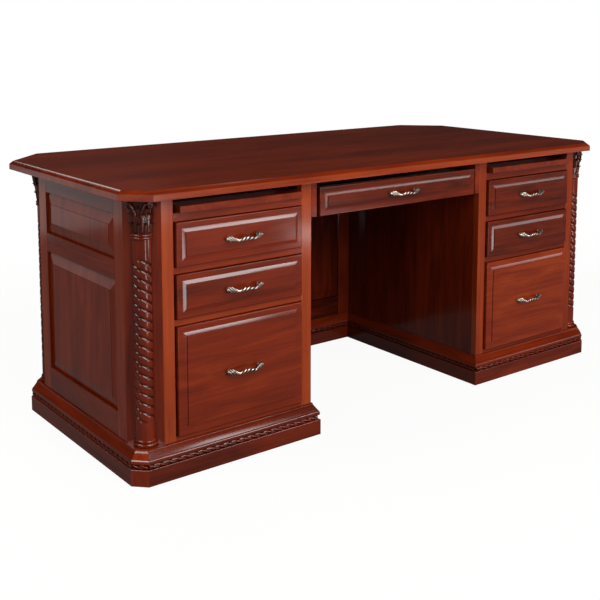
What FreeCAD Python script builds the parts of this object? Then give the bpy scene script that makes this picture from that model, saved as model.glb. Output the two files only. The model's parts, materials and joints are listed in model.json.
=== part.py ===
"""Double-pedestal executive desk in stained cherry, with rope-twist corner columns.

Millimetres. X runs along the desk, -Y is the side with the drawers, Z is up.
The origin lies on the floor under the middle of the top.
"""
import FreeCAD, Part
import math
import os
import re
import Sketcher

V = FreeCAD.Vector

# Driving sizes, one cell each.
SIZES = {
    # whole desk
    "length": 1842,
    "depth": 902,
    "height": 758,
    # top
    "top_thick": 26,
    "top_edge_rise": 9.5,
    "top_edge_run": 12,
    "top_front_clip": 64,
    "top_back_clip": 130,
    "front_overhang": 38,
    "end_overhang": 34,
    "back_overhang": 196,
    # carcass
    "kneehole_width": 682,
    "cant_leg": 71,
    "frame_thick": 22,
    "side_thick": 18,
    # framed ends, backs and modesty wall
    "wall_stile": 49,
    "wall_bottom_rail": 68,
    "wall_middle_rail": 54,
    "wall_top_rail": 48,
    "upper_panel_height": 120,
    "panel_setback": 1.5,
    "panel_bevel": 33,
    "panel_tongue": 8,
    "tongue_thick": 6,
    "groove_end_gap": 1,
    "groove_face_gap": 0.2,
    # face frames
    "face_stile": 34,
    "face_bottom_rail": 12.5,
    "face_rail": 17,
    "board_rail": 22,
    "drawer_opening": 118.5,
    "board_slot": 42,
    # base
    "base_height": 91,
    "base_proud": 20,
    "base_clip": 33,
    "plinth_height": 44,
    "plinth_thick": 18,
    "deck_thick": 18,
    "rope_width": 13,
    "rope_inset": 0.5,
    "moulding_lip_inset": 1.5,
    "moulding_lip_height": 9,
    "moulding_quirk": 2.5,
    "moulding_land": 2,
    # corner columns
    "shaft_radius": 25.4,
    "twist_radius": 25.2,
    "twist_groove": 3.2,
    "twist_lead": 74,
    "foot_shaft": 63,
    "neck_shaft": 49,
    "ring_tube": 3.6,
    "ring_radius": 25.6,
    "ring_pitch": 7,
    "base_ring_tube": 5.2,
    "base_ring_radius": 26.6,
    "base_ring_pitch": 9.5,
    "base_ring_taper": 1.5,
    "neck_band": 14,
    "capital_height": 88,
    "capital_foot_radius": 24.5,
    "capital_waist_radius": 26.5,
    "capital_top_radius": 36,
    "capital_waist_height": 56,
    # drawer fronts
    "front_thick": 20,
    "front_proud": 9,
    "front_side_gap": 4,
    "front_rail_gap": 1.5,
    "front_border": 16,
    "field_rise": 4,
    "field_run": 10,
    # lap drawer
    "hanger_thick": 20,
    "hanger_margin": 15,
    "lap_front_width": 626,
    "lap_front_drop": 103,
    "lap_front_height": 82,
    "lap_front_proud": 5,
    "lap_box_height": 58,
    "lap_box_depth": 450,
    # drawer boxes
    "box_board": 13,
    "box_bottom": 6,
    "box_bottom_lift": 8,
    "box_back_gap": 75,
    "box_height": 82,
    "box_lift": 8,
    "file_box_drop": 47.5,
    # drawer slides
    "slide_room": 12.5,
    "slide_side_gap": 1,
    "slide_setback": 2,
    "slide_height": 44,
    "slide_wall": 1.5,
    "slide_reach": 10,
    "slide_play": 0.4,
    "slide_end_gap": 10,
    "block_height": 60,
    "outer_block_thick": 22,
    "file_slide_lift": 70,
    # writing boards
    "board_end_gap": 10.5,
    "board_thick": 18,
    "board_back_gap": 104,
    "board_proud": 18,
    "board_play": 0.3,
    "board_side_play": 1,
    "guide_width": 30,
    "guide_inset": 6,
    "guide_thick": 19,
    "fence_thick": 16,
    # stretchers and top screws
    "stretcher_thick": 18,
    "stretcher_width": 70,
    "stretcher_setback": 75,
    "screw_radius": 2.5,
    "screw_bite": 16,
    "screw_head_radius": 5,
    "screw_head": 3,
    "screw_end_margin": 60,
    "screw_play": 0.3,
    # pulls
    "pull_length": 119,
    "pull_centres": 96,
    "pull_reach": 24,
    "pull_bow_height": 13,
    "pull_bow_depth": 8,
    "pull_post_radius": 4.5,
    "pull_screw_radius": 2,
}

doc = FreeCAD.newDocument("desk")
sheet = doc.addObject("Spreadsheet::Sheet", "dims")
for row, (alias, value) in enumerate(SIZES.items(), 1):
    sheet.set(f"A{row}", alias)
    sheet.set(f"B{row}", str(value))
    sheet.setAlias(f"B{row}", alias)
doc.recompute()

nodes = []


def bound(expression):
    """The expression with each size pointed at its cell."""
    return re.sub(r"\b[a-z_]{2,}\b(?!\()", lambda word: "dims." + word.group(), expression)


def number(expression):
    """The expression's present value."""
    return float(sheet.evalExpression(bound(expression)))


# Places that many pieces share.
END_X = "(length / 2 - end_overhang)"
FACE_Y = "(front_overhang - depth / 2)"
REAR_Y = "(depth / 2 - back_overhang)"
KNEE_X = "(kneehole_width / 2)"
FACE_END_X = f"({END_X} - cant_leg)"
FACE_BACK_Y = f"({FACE_Y} + frame_thick)"
REAR_FRONT_Y = f"({REAR_Y} - frame_thick)"
SIDE_X = f"({KNEE_X} + side_thick)"
TOP_LOW = "(height - top_thick)"
BAY_X = f"(({KNEE_X} + {FACE_END_X}) / 2)"
OPENING_WIDTH = f"({FACE_END_X} - {KNEE_X} - 2 * face_stile)"
BOX_WIDTH = f"({OPENING_WIDTH} - 2 * (slide_room + slide_side_gap))"
HANGER_X = f"({KNEE_X} - hanger_thick)"
LAP_BOX_WIDTH = f"(2 * {HANGER_X} - 2 * slide_room)"

# Openings of the face frame, from the floor up; the file drawer takes the height that is left.
FILE_LOW = "(base_height + face_bottom_rail)"
FILE_OPENING = (
    f"({TOP_LOW} - board_slot - board_rail - 2 * (drawer_opening + face_rail) - {FILE_LOW})"
)
SECOND_LOW = f"({FILE_LOW} + {FILE_OPENING} + face_rail)"
FIRST_LOW = f"({SECOND_LOW} + drawer_opening + face_rail)"
SLOT_RAIL_LOW = f"({FIRST_LOW} + drawer_opening)"
SLOT_LOW = f"({SLOT_RAIL_LOW} + board_rail)"
BOARD_LOW = f"({SLOT_LOW} + board_side_play)"

# Drawers, writing boards and columns fill the room between the walls that hold them.
BOX_DEPTH = f"({REAR_FRONT_Y} - {FACE_Y} + front_proud - front_thick - box_back_gap)"
FILE_BOX_HEIGHT = f"({FILE_OPENING} - file_box_drop)"
BOARD_FRONT = f"({FACE_Y} - board_proud)"
BOARD_BACK = f"({REAR_FRONT_Y} - board_back_gap)"
BOARD_WIDTH = f"({OPENING_WIDTH} - 2 * board_end_gap)"
LAP_LOW = f"({TOP_LOW} - lap_front_drop)"
CAPITAL_LOW = f"({TOP_LOW} - capital_height)"
NECK_LOW = f"({CAPITAL_LOW} - neck_band)"
TWIST_LOW = "(base_height + foot_shaft)"
TWIST_HIGH = f"({NECK_LOW} - neck_shaft)"

PEDESTALS = (("left", -1), ("right", 1))


def flipped(side, low, high):
    """A span along X, mirrored for the left pedestal."""
    if side > 0:
        return low, high
    return f"-({high})", f"-({low})"


def beside(centre, side, near, far):
    """A span on one side of a centre, from near to far."""
    if side > 0:
        return f"{centre} + {near}", f"{centre} + {far}"
    return f"{centre} - ({far})", f"{centre} - ({near})"


def board(name, x, y, z):
    """A rectangular board between three pairs of bounds."""
    box = doc.addObject("Part::Box", name)
    for size, axis, (low, high) in zip(("Length", "Width", "Height"), "xyz", (x, y, z)):
        box.setExpression(size, bound(f"({high}) - ({low})"))
        box.setExpression(f"Placement.Base.{axis}", bound(low))
    return box


def drilled(name, base, tools):
    """The base with every tool taken out."""
    cut = doc.addObject("Part::Cut", name)
    cut.Base = base
    cut.Tool = tools[0] if len(tools) == 1 else bundle(name + "_tools", tools)
    return cut


def bundle(name, pieces):
    """Separate solids kept together as one object."""
    compound = doc.addObject("Part::Compound", name)
    compound.Links = pieces
    return compound


def fused(name, pieces):
    """One solid made of overlapping or touching pieces."""
    fuse = doc.addObject("Part::MultiFuse", name)
    fuse.Shapes = pieces
    fuse.Refine = True
    return fuse


def node(label, pieces):
    """A finished sub-part under its own label."""
    piece = pieces[0] if len(pieces) == 1 else bundle(label, pieces)
    piece.Label = label
    nodes.append(piece)
    return piece


def drawn(label, shape):
    """A sub-part whose shape is worked out from the sheet's values."""
    feature = doc.addObject("Part::Feature", label)
    feature.Shape = shape
    feature.Label = label
    nodes.append(feature)
    return feature


def prism(name, corners, low, high):
    """A body padded from a polygon of corner expressions between two heights."""
    body = doc.addObject("PartDesign::Body", name)
    sketch = body.newObject("Sketcher::SketchObject", name + "_outline")
    plane = [item for item in body.Origin.OriginFeatures if item.Role == "XY_Plane"][0]
    sketch.AttachmentSupport = [(plane, "")]
    sketch.MapMode = "FlatFace"
    places = [(number(x), number(y)) for x, y in corners]
    count = len(corners)
    for index in range(count):
        start, end = places[index], places[(index + 1) % count]
        sketch.addGeometry(Part.LineSegment(V(*start, 0), V(*end, 0)))
    for index in range(count):
        sketch.addConstraint(Sketcher.Constraint("Coincident", index, 2, (index + 1) % count, 1))
    for index, (corner, place) in enumerate(zip(corners, places)):
        for kind, expression, value in zip(("DistanceX", "DistanceY"), corner, place):
            rule = sketch.addConstraint(Sketcher.Constraint(kind, -1, 1, index, 1, value))
            sketch.setExpression(f"Constraints[{rule}]", bound(expression))
    pad = body.newObject("PartDesign::Pad", name + "_pad")
    pad.Profile = sketch
    pad.setExpression("Length", bound(f"({high}) - ({low})"))
    body.setExpression("Placement.Base.z", bound(low))
    return body


def pin(name, x, y, low, high, radius):
    """An upright round pin."""
    round_bar = doc.addObject("Part::Cylinder", name)
    round_bar.setExpression("Radius", bound(radius))
    round_bar.setExpression("Height", bound(f"({high}) - ({low})"))
    for axis, place in zip("xyz", (x, y, low)):
        round_bar.setExpression(f"Placement.Base.{axis}", bound(place))
    return round_bar


def level_pin(name, x, front, back, z, radius):
    """A round pin that lies along Y."""
    round_bar = doc.addObject("Part::Cylinder", name)
    round_bar.setExpression("Radius", bound(radius))
    round_bar.setExpression("Height", bound(f"({back}) - ({front})"))
    round_bar.Placement.Rotation = FreeCAD.Rotation(V(1, 0, 0), -90)
    for axis, place in zip("xyz", (x, front, z)):
        round_bar.setExpression(f"Placement.Base.{axis}", bound(place))
    return round_bar


# Top and what holds it.
STRETCHERS = [
    (f"{name}_{place}", flipped(side, SIDE_X, f"{END_X} - frame_thick"), span)
    for name, side in PEDESTALS
    for place, span in (
        ("front", (f"{FACE_Y} + stretcher_setback", f"{FACE_Y} + stretcher_setback + stretcher_width")),
        ("rear", (f"{REAR_Y} - stretcher_setback - stretcher_width", f"{REAR_Y} - stretcher_setback")),
    )
]
STRETCHERS.append((
    "kneehole",
    (f"-{HANGER_X}", HANGER_X),
    (f"{FACE_Y} + stretcher_setback", f"{FACE_Y} + stretcher_setback + stretcher_width"),
))


def screw_places():
    """Two screws in each stretcher: its name, and their X and Y."""
    for name, (low, high), (front, back) in STRETCHERS:
        for end, x in (("a", f"{low} + screw_end_margin"), ("b", f"{high} - screw_end_margin")):
            yield name, f"{name}_{end}", x, f"({front} + ({back})) / 2"


def desk_top():
    """The slab: clipped corners, sloped upper edge, pilot holes from below."""
    half, deep = "length / 2", "depth / 2"
    corners = [
        (f"top_front_clip - {half}", f"-{deep}"), (f"{half} - top_front_clip", f"-{deep}"),
        (half, f"top_front_clip - {deep}"), (half, f"{deep} - top_back_clip"),
        (f"{half} - top_back_clip", deep), (f"top_back_clip - {half}", deep),
        (f"-{half}", f"{deep} - top_back_clip"), (f"-{half}", f"top_front_clip - {deep}"),
    ]
    slab = prism("top_slab", corners, TOP_LOW, "height")
    doc.recompute()
    pad = slab.Tip
    upper = number("top_thick")
    rim = [
        f"Edge{index}" for index, edge in enumerate(pad.Shape.Edges, 1)
        if all(math.isclose(point.Z, upper) for point in edge.Vertexes)
    ]
    slope = slab.newObject("PartDesign::Chamfer", "top_edge")
    slope.Base = (pad, rim)
    slope.ChamferType = "Two distances"
    slope.setExpression("Size", bound("top_edge_rise"))
    slope.setExpression("Size2", bound("top_edge_run"))
    holes = [
        pin("top_hole_" + key, x, y, TOP_LOW, f"{TOP_LOW} + screw_bite + screw_play", "screw_radius")
        for _, key, x, y in screw_places()
    ]
    node("desk_top", [drilled("drilled_top", slab, holes)])


def top_stretchers():
    """Flat rails under the top, drilled for its screws."""
    rails = []
    for name, x, y in STRETCHERS:
        blank = board("stretcher_" + name, x, y, (f"{TOP_LOW} - stretcher_thick", TOP_LOW))
        holes = [
            pin("stretcher_hole_" + key, px, py, f"{TOP_LOW} - stretcher_thick", TOP_LOW,
                "screw_radius + screw_play")
            for owner, key, px, py in screw_places() if owner == name
        ]
        rails.append(drilled("drilled_stretcher_" + name, blank, holes))
    node("top_stretchers", rails)


def top_screws():
    """Pan-head screws, heads under the stretchers."""
    screws = []
    seat = f"{TOP_LOW} - stretcher_thick"
    for _, key, x, y in screw_places():
        head = pin("screw_head_" + key, x, y, f"{seat} - screw_head", seat, "screw_head_radius")
        shank = pin("screw_shank_" + key, x, y, seat, f"{TOP_LOW} + screw_bite", "screw_radius")
        screws.append(fused("top_screw_" + key, [head, shank]))
    node("top_screws", screws)


# Framed walls with raised panels.
def on_wall(facing, plane, along, inward, z):
    """Bounds of a board on a wall, from its span along the wall and its depth behind the face."""
    near, far = inward
    if facing == "left":
        return (f"{plane} + {near}", f"{plane} + {far}"), along, z
    if facing == "right":
        return (f"{plane} - ({far})", f"{plane} - ({near})"), along, z
    return along, (f"{plane} - ({far})", f"{plane} - ({near})"), z


WALL_TURNS = {"left": 90, "right": -90, "back": 0}
TONGUE_NEAR = "(frame_thick - tongue_thick) / 2"
TONGUE_FAR = "(frame_thick + tongue_thick) / 2"


def raised_panel(name, facing, plane, along, z, both_sides=False):
    """A tongued panel whose wide bevels rise to a flat field."""
    (low, high), (foot, head) = along, z
    width, rise = f"(({high}) - ({low}))", f"(({head}) - ({foot}))"
    blank = board(
        name + "_tongue",
        (f"-{width} / 2 - panel_tongue", f"{width} / 2 + panel_tongue"),
        (f"-({TONGUE_FAR})", f"-({TONGUE_NEAR})"),
        ("-panel_tongue", f"{rise} + panel_tongue"),
    )
    pieces = [blank]
    for key, turn in (("show", 0), ("rear", 180))[:2 if both_sides else 1]:
        bevel = doc.addObject("Part::Wedge", f"{name}_{key}_bevel")
        outer = {
            "Xmin": f"-{width} / 2", "Xmax": f"{width} / 2",
            "Zmin": f"-{rise} / 2", "Zmax": f"{rise} / 2",
        }
        inner = {
            "X2min": f"panel_bevel - {width} / 2", "X2max": f"{width} / 2 - panel_bevel",
            "Z2min": f"panel_bevel - {rise} / 2", "Z2max": f"{rise} / 2 - panel_bevel",
        }
        slope = f"{TONGUE_NEAR} - panel_setback"
        for size, expression in {**outer, **inner, "Ymax": slope}.items():
            bevel.setExpression(size, bound(expression))
        bevel.Ymin = 0
        bevel.Placement.Rotation = FreeCAD.Rotation(V(0, 0, 1), turn)
        seat = TONGUE_NEAR if turn == 0 else TONGUE_FAR
        bevel.setExpression("Placement.Base.y", bound(f"-({seat})"))
        bevel.setExpression("Placement.Base.z", bound(f"{rise} / 2"))
        pieces.append(bevel)
    panel = fused(name, pieces)
    panel.Placement.Rotation = FreeCAD.Rotation(V(0, 0, 1), WALL_TURNS[facing])
    middle = f"(({low}) + ({high})) / 2"
    place = (middle, plane, foot) if facing == "back" else (plane, middle, foot)
    for axis, expression in zip("xyz", place):
        panel.setExpression(f"Placement.Base.{axis}", bound(expression))
    return panel


def framed_wall(name, facing, plane, along, both_sides=False):
    """Two stiles, three rails, and a short upper and a tall lower panel in their grooves."""
    low, high = along
    left, right = f"({low} + wall_stile)", f"({high} - wall_stile)"
    levels = ["base_height", "base_height + wall_bottom_rail"]
    upper_foot = f"({TOP_LOW} - wall_top_rail - upper_panel_height)"
    levels += [f"{upper_foot} - wall_middle_rail", upper_foot, f"{TOP_LOW} - wall_top_rail", TOP_LOW]
    bays = {"lower": (levels[1], levels[2]), "upper": (levels[3], levels[4])}
    thick = ("0", "frame_thick")
    members = {
        "front_stile": ((low, left), (levels[0], levels[5])),
        "rear_stile": ((right, high), (levels[0], levels[5])),
        "bottom_rail": ((left, right), (levels[0], levels[1])),
        "middle_rail": ((left, right), (levels[2], levels[3])),
        "top_rail": ((left, right), (levels[4], levels[5])),
    }
    reach = "(panel_tongue + groove_end_gap)"
    groove = (f"{TONGUE_NEAR} - groove_face_gap", f"{TONGUE_FAR} + groove_face_gap")
    touching = {
        "front_stile": ("lower", "upper"), "rear_stile": ("lower", "upper"),
        "bottom_rail": ("lower",), "middle_rail": ("lower", "upper"), "top_rail": ("upper",),
    }
    frame = []
    for member, (span, z) in members.items():
        blank = board(f"{name}_{member}_blank", *on_wall(facing, plane, span, thick, z))
        slots = [
            board(f"{name}_{member}_{bay}_slot", *on_wall(
                facing, plane, (f"{left} - {reach}", f"{right} + {reach}"), groove,
                (f"{bays[bay][0]} - {reach}", f"{bays[bay][1]} + {reach}")))
            for bay in touching[member]
        ]
        frame.append(drilled(f"{name}_{member}", blank, slots))
    node(name + "_frame", frame)
    node(name + "_panels", [
        raised_panel(f"{name}_{bay}_panel", facing, plane, (left, right), z, both_sides)
        for bay, z in bays.items()
    ])


def carcass_walls():
    """Framed ends and backs of both pedestals, and the modesty wall between them."""
    for name, side in PEDESTALS:
        plane = END_X if side > 0 else f"-{END_X}"
        framed_wall(name + "_end", name, plane, (f"{FACE_Y} + cant_leg", f"{REAR_Y} - cant_leg"))
        framed_wall(name + "_back", "back", REAR_Y, flipped(side, KNEE_X, FACE_END_X))
    framed_wall("modesty", "back", REAR_Y, (f"-{KNEE_X}", KNEE_X), both_sides=True)


def face_frame(name, side):
    """Stiles and rails round the drawers of one pedestal."""
    inner = flipped(side, KNEE_X, f"{KNEE_X} + face_stile")
    outer = flipped(side, f"{FACE_END_X} - face_stile", FACE_END_X)
    span = flipped(side, f"{KNEE_X} + face_stile", f"{FACE_END_X} - face_stile")
    y = (FACE_Y, FACE_BACK_Y)
    rails = {
        "bottom": ("base_height", FILE_LOW),
        "lower": (f"{SECOND_LOW} - face_rail", SECOND_LOW),
        "middle": (f"{FIRST_LOW} - face_rail", FIRST_LOW),
        "slot": (SLOT_RAIL_LOW, SLOT_LOW),
    }
    members = [
        board(f"{name}_face_inner_stile", inner, y, ("base_height", TOP_LOW)),
        board(f"{name}_face_outer_stile", outer, y, ("base_height", TOP_LOW)),
    ]
    members += [board(f"{name}_face_{rail}_rail", span, y, z) for rail, z in rails.items()]
    node(name + "_face_frame", members)


def inner_side(name, side):
    """The plain side board towards the kneehole."""
    x = flipped(side, KNEE_X, SIDE_X)
    node(name + "_inner_side", [
        board(name + "_side_board", x, (FACE_BACK_Y, REAR_FRONT_Y), ("base_height", TOP_LOW))
    ])


# Canted corners and their columns.
CORNERS = [
    (f"{end}_{name}", side, face)
    for end, face in (("front", -1), ("rear", 1))
    for name, side in PEDESTALS
]


def signed(sign, expression):
    """The expression or its negative."""
    return expression if sign > 0 else f"-({expression})"


def corner_posts():
    """Boards set at 45 degrees between the faces and the ends."""
    posts = []
    for key, side, face in CORNERS:
        wall, into = (FACE_Y, "+") if face < 0 else (REAR_Y, "-")
        plan = [
            (FACE_END_X, wall),
            (END_X, f"{wall} {into} cant_leg"),
            (f"{END_X} - frame_thick", f"{wall} {into} cant_leg"),
            (FACE_END_X, f"{wall} {into} frame_thick"),
        ]
        corners = [(signed(side, x), y) for x, y in plan]
        posts.append(prism(key + "_post", corners, "base_height", TOP_LOW))
    node("corner_posts", posts)


def column_seat(side, face):
    """Middle of a canted face and the turn that points +Y out of it."""
    wall, into = ("front_overhang - depth / 2", 1) if face < 0 else ("depth / 2 - back_overhang", -1)
    x = number(END_X) - number("cant_leg") / 2
    y = number(wall) + into * number("cant_leg") / 2
    turn = math.degrees(math.atan2(face, side)) - 90
    return V(side * x, y, 0), FreeCAD.Rotation(V(0, 0, 1), turn)


def half_turned(outline):
    """Half a turned piece: an outline of (radius, height) swung round from +X to -X through +Y."""
    points = [V(radius, 0, z) for radius, z in outline]
    face = Part.Face(Part.makePolygon(points + points[:1]))
    return face.revolve(V(0, 0, 0), V(0, 0, 1), 180)


def half_ring(centre_radius, tube, height):
    """Half a round ring."""
    return Part.makeTorus(centre_radius, tube, V(0, 0, height), V(0, 0, 1), 0, 360, 180)


# Cross-section of one strand of the twist: place round it and depth below its crest, as shares.
STRAND_SHARES = ((0, 1), (0.2, 0.25), (0.5, 0), (0.8, 0.25), (1, 1))
STRANDS = 3
SECTIONS_PER_TURN = 12


def rope_section(level, turn):
    """The three strands in plan, turned about the column's axis."""
    radius, groove = number("twist_radius"), number("twist_groove")
    edges = []
    for strand in range(STRANDS):
        points = []
        for place, sunk in STRAND_SHARES:
            angle = turn + 2 * math.pi * (strand + place) / STRANDS
            reach = radius - groove * sunk
            points.append(V(reach * math.cos(angle), reach * math.sin(angle), level))
        crest = Part.BSplineCurve()
        crest.interpolate(points)
        edges.append(crest.toShape())
    return Part.Wire(edges)


def rope_twist(low, high):
    """Three strands wound left-handed round an upright axis, cut to the half on the +Y side."""
    radius, lead = number("twist_radius"), number("twist_lead")
    count = round((high - low) / lead * SECTIONS_PER_TURN)
    levels = [low + (high - low) * index / count for index in range(count + 1)]
    rope = Part.makeLoft(
        [rope_section(level, -2 * math.pi * (level - low) / lead) for level in levels], True, False)
    far_half = Part.makeBox(4 * radius, 2 * radius, high - low, V(-2 * radius, -2 * radius, low))
    return rope.cut(far_half).Solids[0]


def half_column():
    """Foot with two rings, rope twist, and neck with two rings, as three turned lengths."""
    foot, neck, top = number("base_height"), number(NECK_LOW), number(CAPITAL_LOW)
    radius, low, high = number("shaft_radius"), number(TWIST_LOW), number(TWIST_HIGH)
    tube, taper = number("base_ring_tube"), number("base_ring_taper")
    ring = number("base_ring_radius")
    lower = half_turned([(0, foot), (radius, foot), (radius, low), (0, low)]).fuse([
        half_ring(ring, tube, foot + tube),
        half_ring(ring - taper, tube - taper, foot + tube + number("base_ring_pitch")),
    ])
    tube = number("ring_tube")
    upper = half_turned([(0, high), (radius, high), (radius, top), (0, top)]).fuse([
        half_ring(number("ring_radius"), tube, neck + level)
        for level in (tube, tube + number("ring_pitch"))
    ])
    return [lower.removeSplitter(), rope_twist(low, high), upper.removeSplitter()]


def half_capital():
    """A bell that swells from the necking to the underside of the top."""
    foot = number(CAPITAL_LOW)
    waist = foot + number("capital_waist_height")
    head = number(TOP_LOW)
    return half_turned([
        (0, foot), (number("capital_foot_radius"), foot), (number("capital_waist_radius"), waist),
        (number("capital_top_radius"), head), (0, head),
    ])


def at_corners(shapes):
    """Copies of half pieces on the four canted faces."""
    copies = []
    for _, side, face in CORNERS:
        place, turn = column_seat(side, face)
        for shape in shapes:
            copy = shape.copy()
            copy.Placement = FreeCAD.Placement(place, turn)
            copies.append(copy)
    return Part.makeCompound(copies)


# Base: plinth, rope and moulding run round a plan with clipped outer corners.
def base_plan(inset):
    """Corners of the base's plan, moved in by the inset; the wood lies to the left of each run."""
    proud, clip = number("base_proud"), number("base_clip")
    outer, inner = number(END_X) + proud, number(KNEE_X) - proud
    front, rear = number(FACE_Y) - proud, number(REAR_Y) + proud
    recess = number(REAR_FRONT_Y) - proud
    plan = [
        (-inner, front), (-inner, recess), (inner, recess), (inner, front),
        (outer - clip, front), (outer, front + clip), (outer, rear - clip), (outer - clip, rear),
        (clip - outer, rear), (-outer, rear - clip), (-outer, front + clip), (clip - outer, front),
    ]
    corners = []
    for index, (x, y) in enumerate(plan):
        before, after = plan[index - 1], plan[(index + 1) % len(plan)]
        arrive = V(x - before[0], y - before[1], 0).normalize()
        leave = V(after[0] - x, after[1] - y, 0).normalize()
        mitre = (V(-arrive.y, arrive.x, 0) + V(-leave.y, leave.x, 0)).normalize()
        reach = inset / mitre.dot(V(-leave.y, leave.x, 0))
        corners.append(V(x, y, 0) + mitre * reach)
    return corners


def mitred_runs(section):
    """One mitred length along each side of the plan; the section gives closed wires at a corner."""
    corner_wires = [section(index) for index in range(len(base_plan(0)))]
    runs = []
    for index, wire in enumerate(corner_wires):
        after = corner_wires[(index + 1) % len(corner_wires)]
        runs.append(Part.makeLoft([wire, after], True, True))
    return Part.makeCompound(runs)


def base_plinth():
    """Plinth boards, mitred at the corners."""
    outside, inside = base_plan(0), base_plan(number("plinth_thick"))
    rise = V(0, 0, number("plinth_height"))
    boards = []
    for index, start in enumerate(outside):
        after = (index + 1) % len(outside)
        outline = [start, outside[after], inside[after], inside[index], start]
        boards.append(Part.Face(Part.makePolygon(outline)).extrude(rise))
    drawn("base_plinth", Part.makeCompound(boards))


def rope_trim():
    """The rope bead, a round rod here, in the groove above the plinth."""
    radius = number("rope_width") / 2
    level = number("plinth_height") + radius
    outside, middle = (base_plan(number("rope_inset") + share) for share in (0, radius))

    def section(index):
        centre = middle[index] + V(0, 0, level)
        out = outside[index] - middle[index]
        side, up = out, V(0, 0, radius)
        half = math.sqrt(0.5)
        ring = [centre + side, centre + (side + up) * half, centre + up,
                centre + (up - side) * half, centre - side, centre - (side + up) * half,
                centre - up, centre + (side - up) * half, centre + side]
        curve = Part.BSplineCurve()
        curve.interpolate(ring[:-1], PeriodicFlag=True)
        return Part.Wire(curve.toShape())

    drawn("rope_trim", mitred_runs(section))


def base_moulding():
    """A bullnose lip under a cove, with a back tongue that stands on the plinth behind the rope."""
    foot, head = number("plinth_height"), number("base_height")
    back = number("plinth_thick")
    soffit = foot + number("rope_width")
    groove = number("rope_inset") + number("rope_width")
    lip, lip_top = number("moulding_lip_inset"), soffit + number("moulding_lip_height")
    quirk, land = number("moulding_quirk"), back - number("moulding_land")
    lip_middle = (soffit + lip_top) / 2
    cove_deep = (land + lip + quirk) / 2 + quirk
    cove_level = (lip_top + head) / 2 - quirk
    profile = [
        (land, head), (back, head), (back, foot), (groove, foot), (groove, soffit), (lip + quirk, soffit),
    ]
    arcs = [(lip, lip_middle), (lip + quirk, lip_top), (cove_deep, cove_level), (land, head)]
    plans = {inset: base_plan(inset) for inset, _ in profile + arcs}

    def section(index):
        def point(place):
            inset, level = place
            return plans[inset][index] + V(0, 0, level)

        edges = [
            Part.LineSegment(point(start), point(end)).toShape()
            for start, end in zip(profile, profile[1:])
        ]
        edges.append(Part.Arc(point(profile[-1]), point(arcs[0]), point(arcs[1])).toShape())
        edges.append(Part.Arc(point(arcs[1]), point(arcs[2]), point(arcs[3])).toShape())
        return Part.Wire(edges)

    drawn("base_moulding", mitred_runs(section))


def base_decks():
    """Floor boards inside the moulding: one under each pedestal, a strip under the modesty wall."""
    inset = "(base_proud - plinth_thick)"
    clip = "(base_clip - plinth_thick * (2 - sqrt(2)))"
    outer, inner = f"({END_X} + {inset})", f"({KNEE_X} - {inset})"
    front, rear = f"({FACE_Y} - {inset})", f"({REAR_Y} + {inset})"
    decks = []
    z = ("base_height - deck_thick", "base_height")
    for name, side in PEDESTALS:
        plan = [
            (inner, front), (f"{outer} - {clip}", front), (outer, f"{front} + {clip}"),
            (outer, f"{rear} - {clip}"), (f"{outer} - {clip}", rear), (inner, rear),
        ]
        decks.append(prism(name + "_deck", [(signed(side, x), y) for x, y in plan], *z))
    strip = (f"{REAR_FRONT_Y} - {inset}", rear)
    decks.append(board("modesty_deck", (f"-{inner}", inner), strip, z))
    node("base_decks", decks)


# Drawers.
class Drawer:
    """Places and sizes of one drawer, all as expressions."""

    def __init__(self, name, centre, front, box, slide_z, travel_parts):
        self.name = name
        self.centre = centre
        self.front_width, self.front_low, self.front_height, self.proud = front
        self.box_width, self.box_low, self.box_height, self.box_depth = box
        self.slide_z = slide_z
        self.long_slides = travel_parts
        self.front_y = f"({FACE_Y} - {self.proud})"
        self.box_y = f"({self.front_y} + front_thick)"
        self.pull_z = f"({self.front_low} + {self.front_height} / 2)"


def list_drawers():
    """Two drawers and a file drawer in each pedestal, and the lap drawer between them."""
    drawers = []
    width = f"({OPENING_WIDTH} - 2 * front_side_gap)"
    for name, side in PEDESTALS:
        centre = signed(side, BAY_X)
        for place, low, opening, height, lift in (
            ("top", FIRST_LOW, "drawer_opening", "box_height", "box_height / 2"),
            ("second", SECOND_LOW, "drawer_opening", "box_height", "box_height / 2"),
            ("file", FILE_LOW, FILE_OPENING, FILE_BOX_HEIGHT, "file_slide_lift"),
        ):
            front = (width, f"({low} + front_rail_gap)", f"({opening} - 2 * front_rail_gap)", "front_proud")
            box = (BOX_WIDTH, f"({low} + box_lift)", height, BOX_DEPTH)
            slide_z = f"({low} + box_lift + {lift})"
            drawers.append(Drawer(f"{name}_{place}_drawer", centre, front, box, slide_z, place == "file"))
    lap_low = f"({LAP_LOW} + (lap_front_height - lap_box_height) / 2)"
    drawers.append(Drawer(
        "lap_drawer", "0", ("lap_front_width", LAP_LOW, "lap_front_height", "lap_front_proud"),
        (LAP_BOX_WIDTH, lap_low, "lap_box_height", "lap_box_depth"),
        f"({lap_low} + lap_box_height / 2)", False))
    return drawers


def pull_screw_x(drawer):
    """X of the two screws of a pull."""
    return [f"{drawer.centre} - pull_centres / 2", f"{drawer.centre} + pull_centres / 2"]


def pull_holes(drawer, key, front, back):
    """Clearance holes for the pull's screws."""
    return [
        level_pin(f"{drawer.name}_{key}_hole_{index}", x, front, back, drawer.pull_z,
                  "pull_screw_radius + screw_play")
        for index, x in enumerate(pull_screw_x(drawer))
    ]


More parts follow.
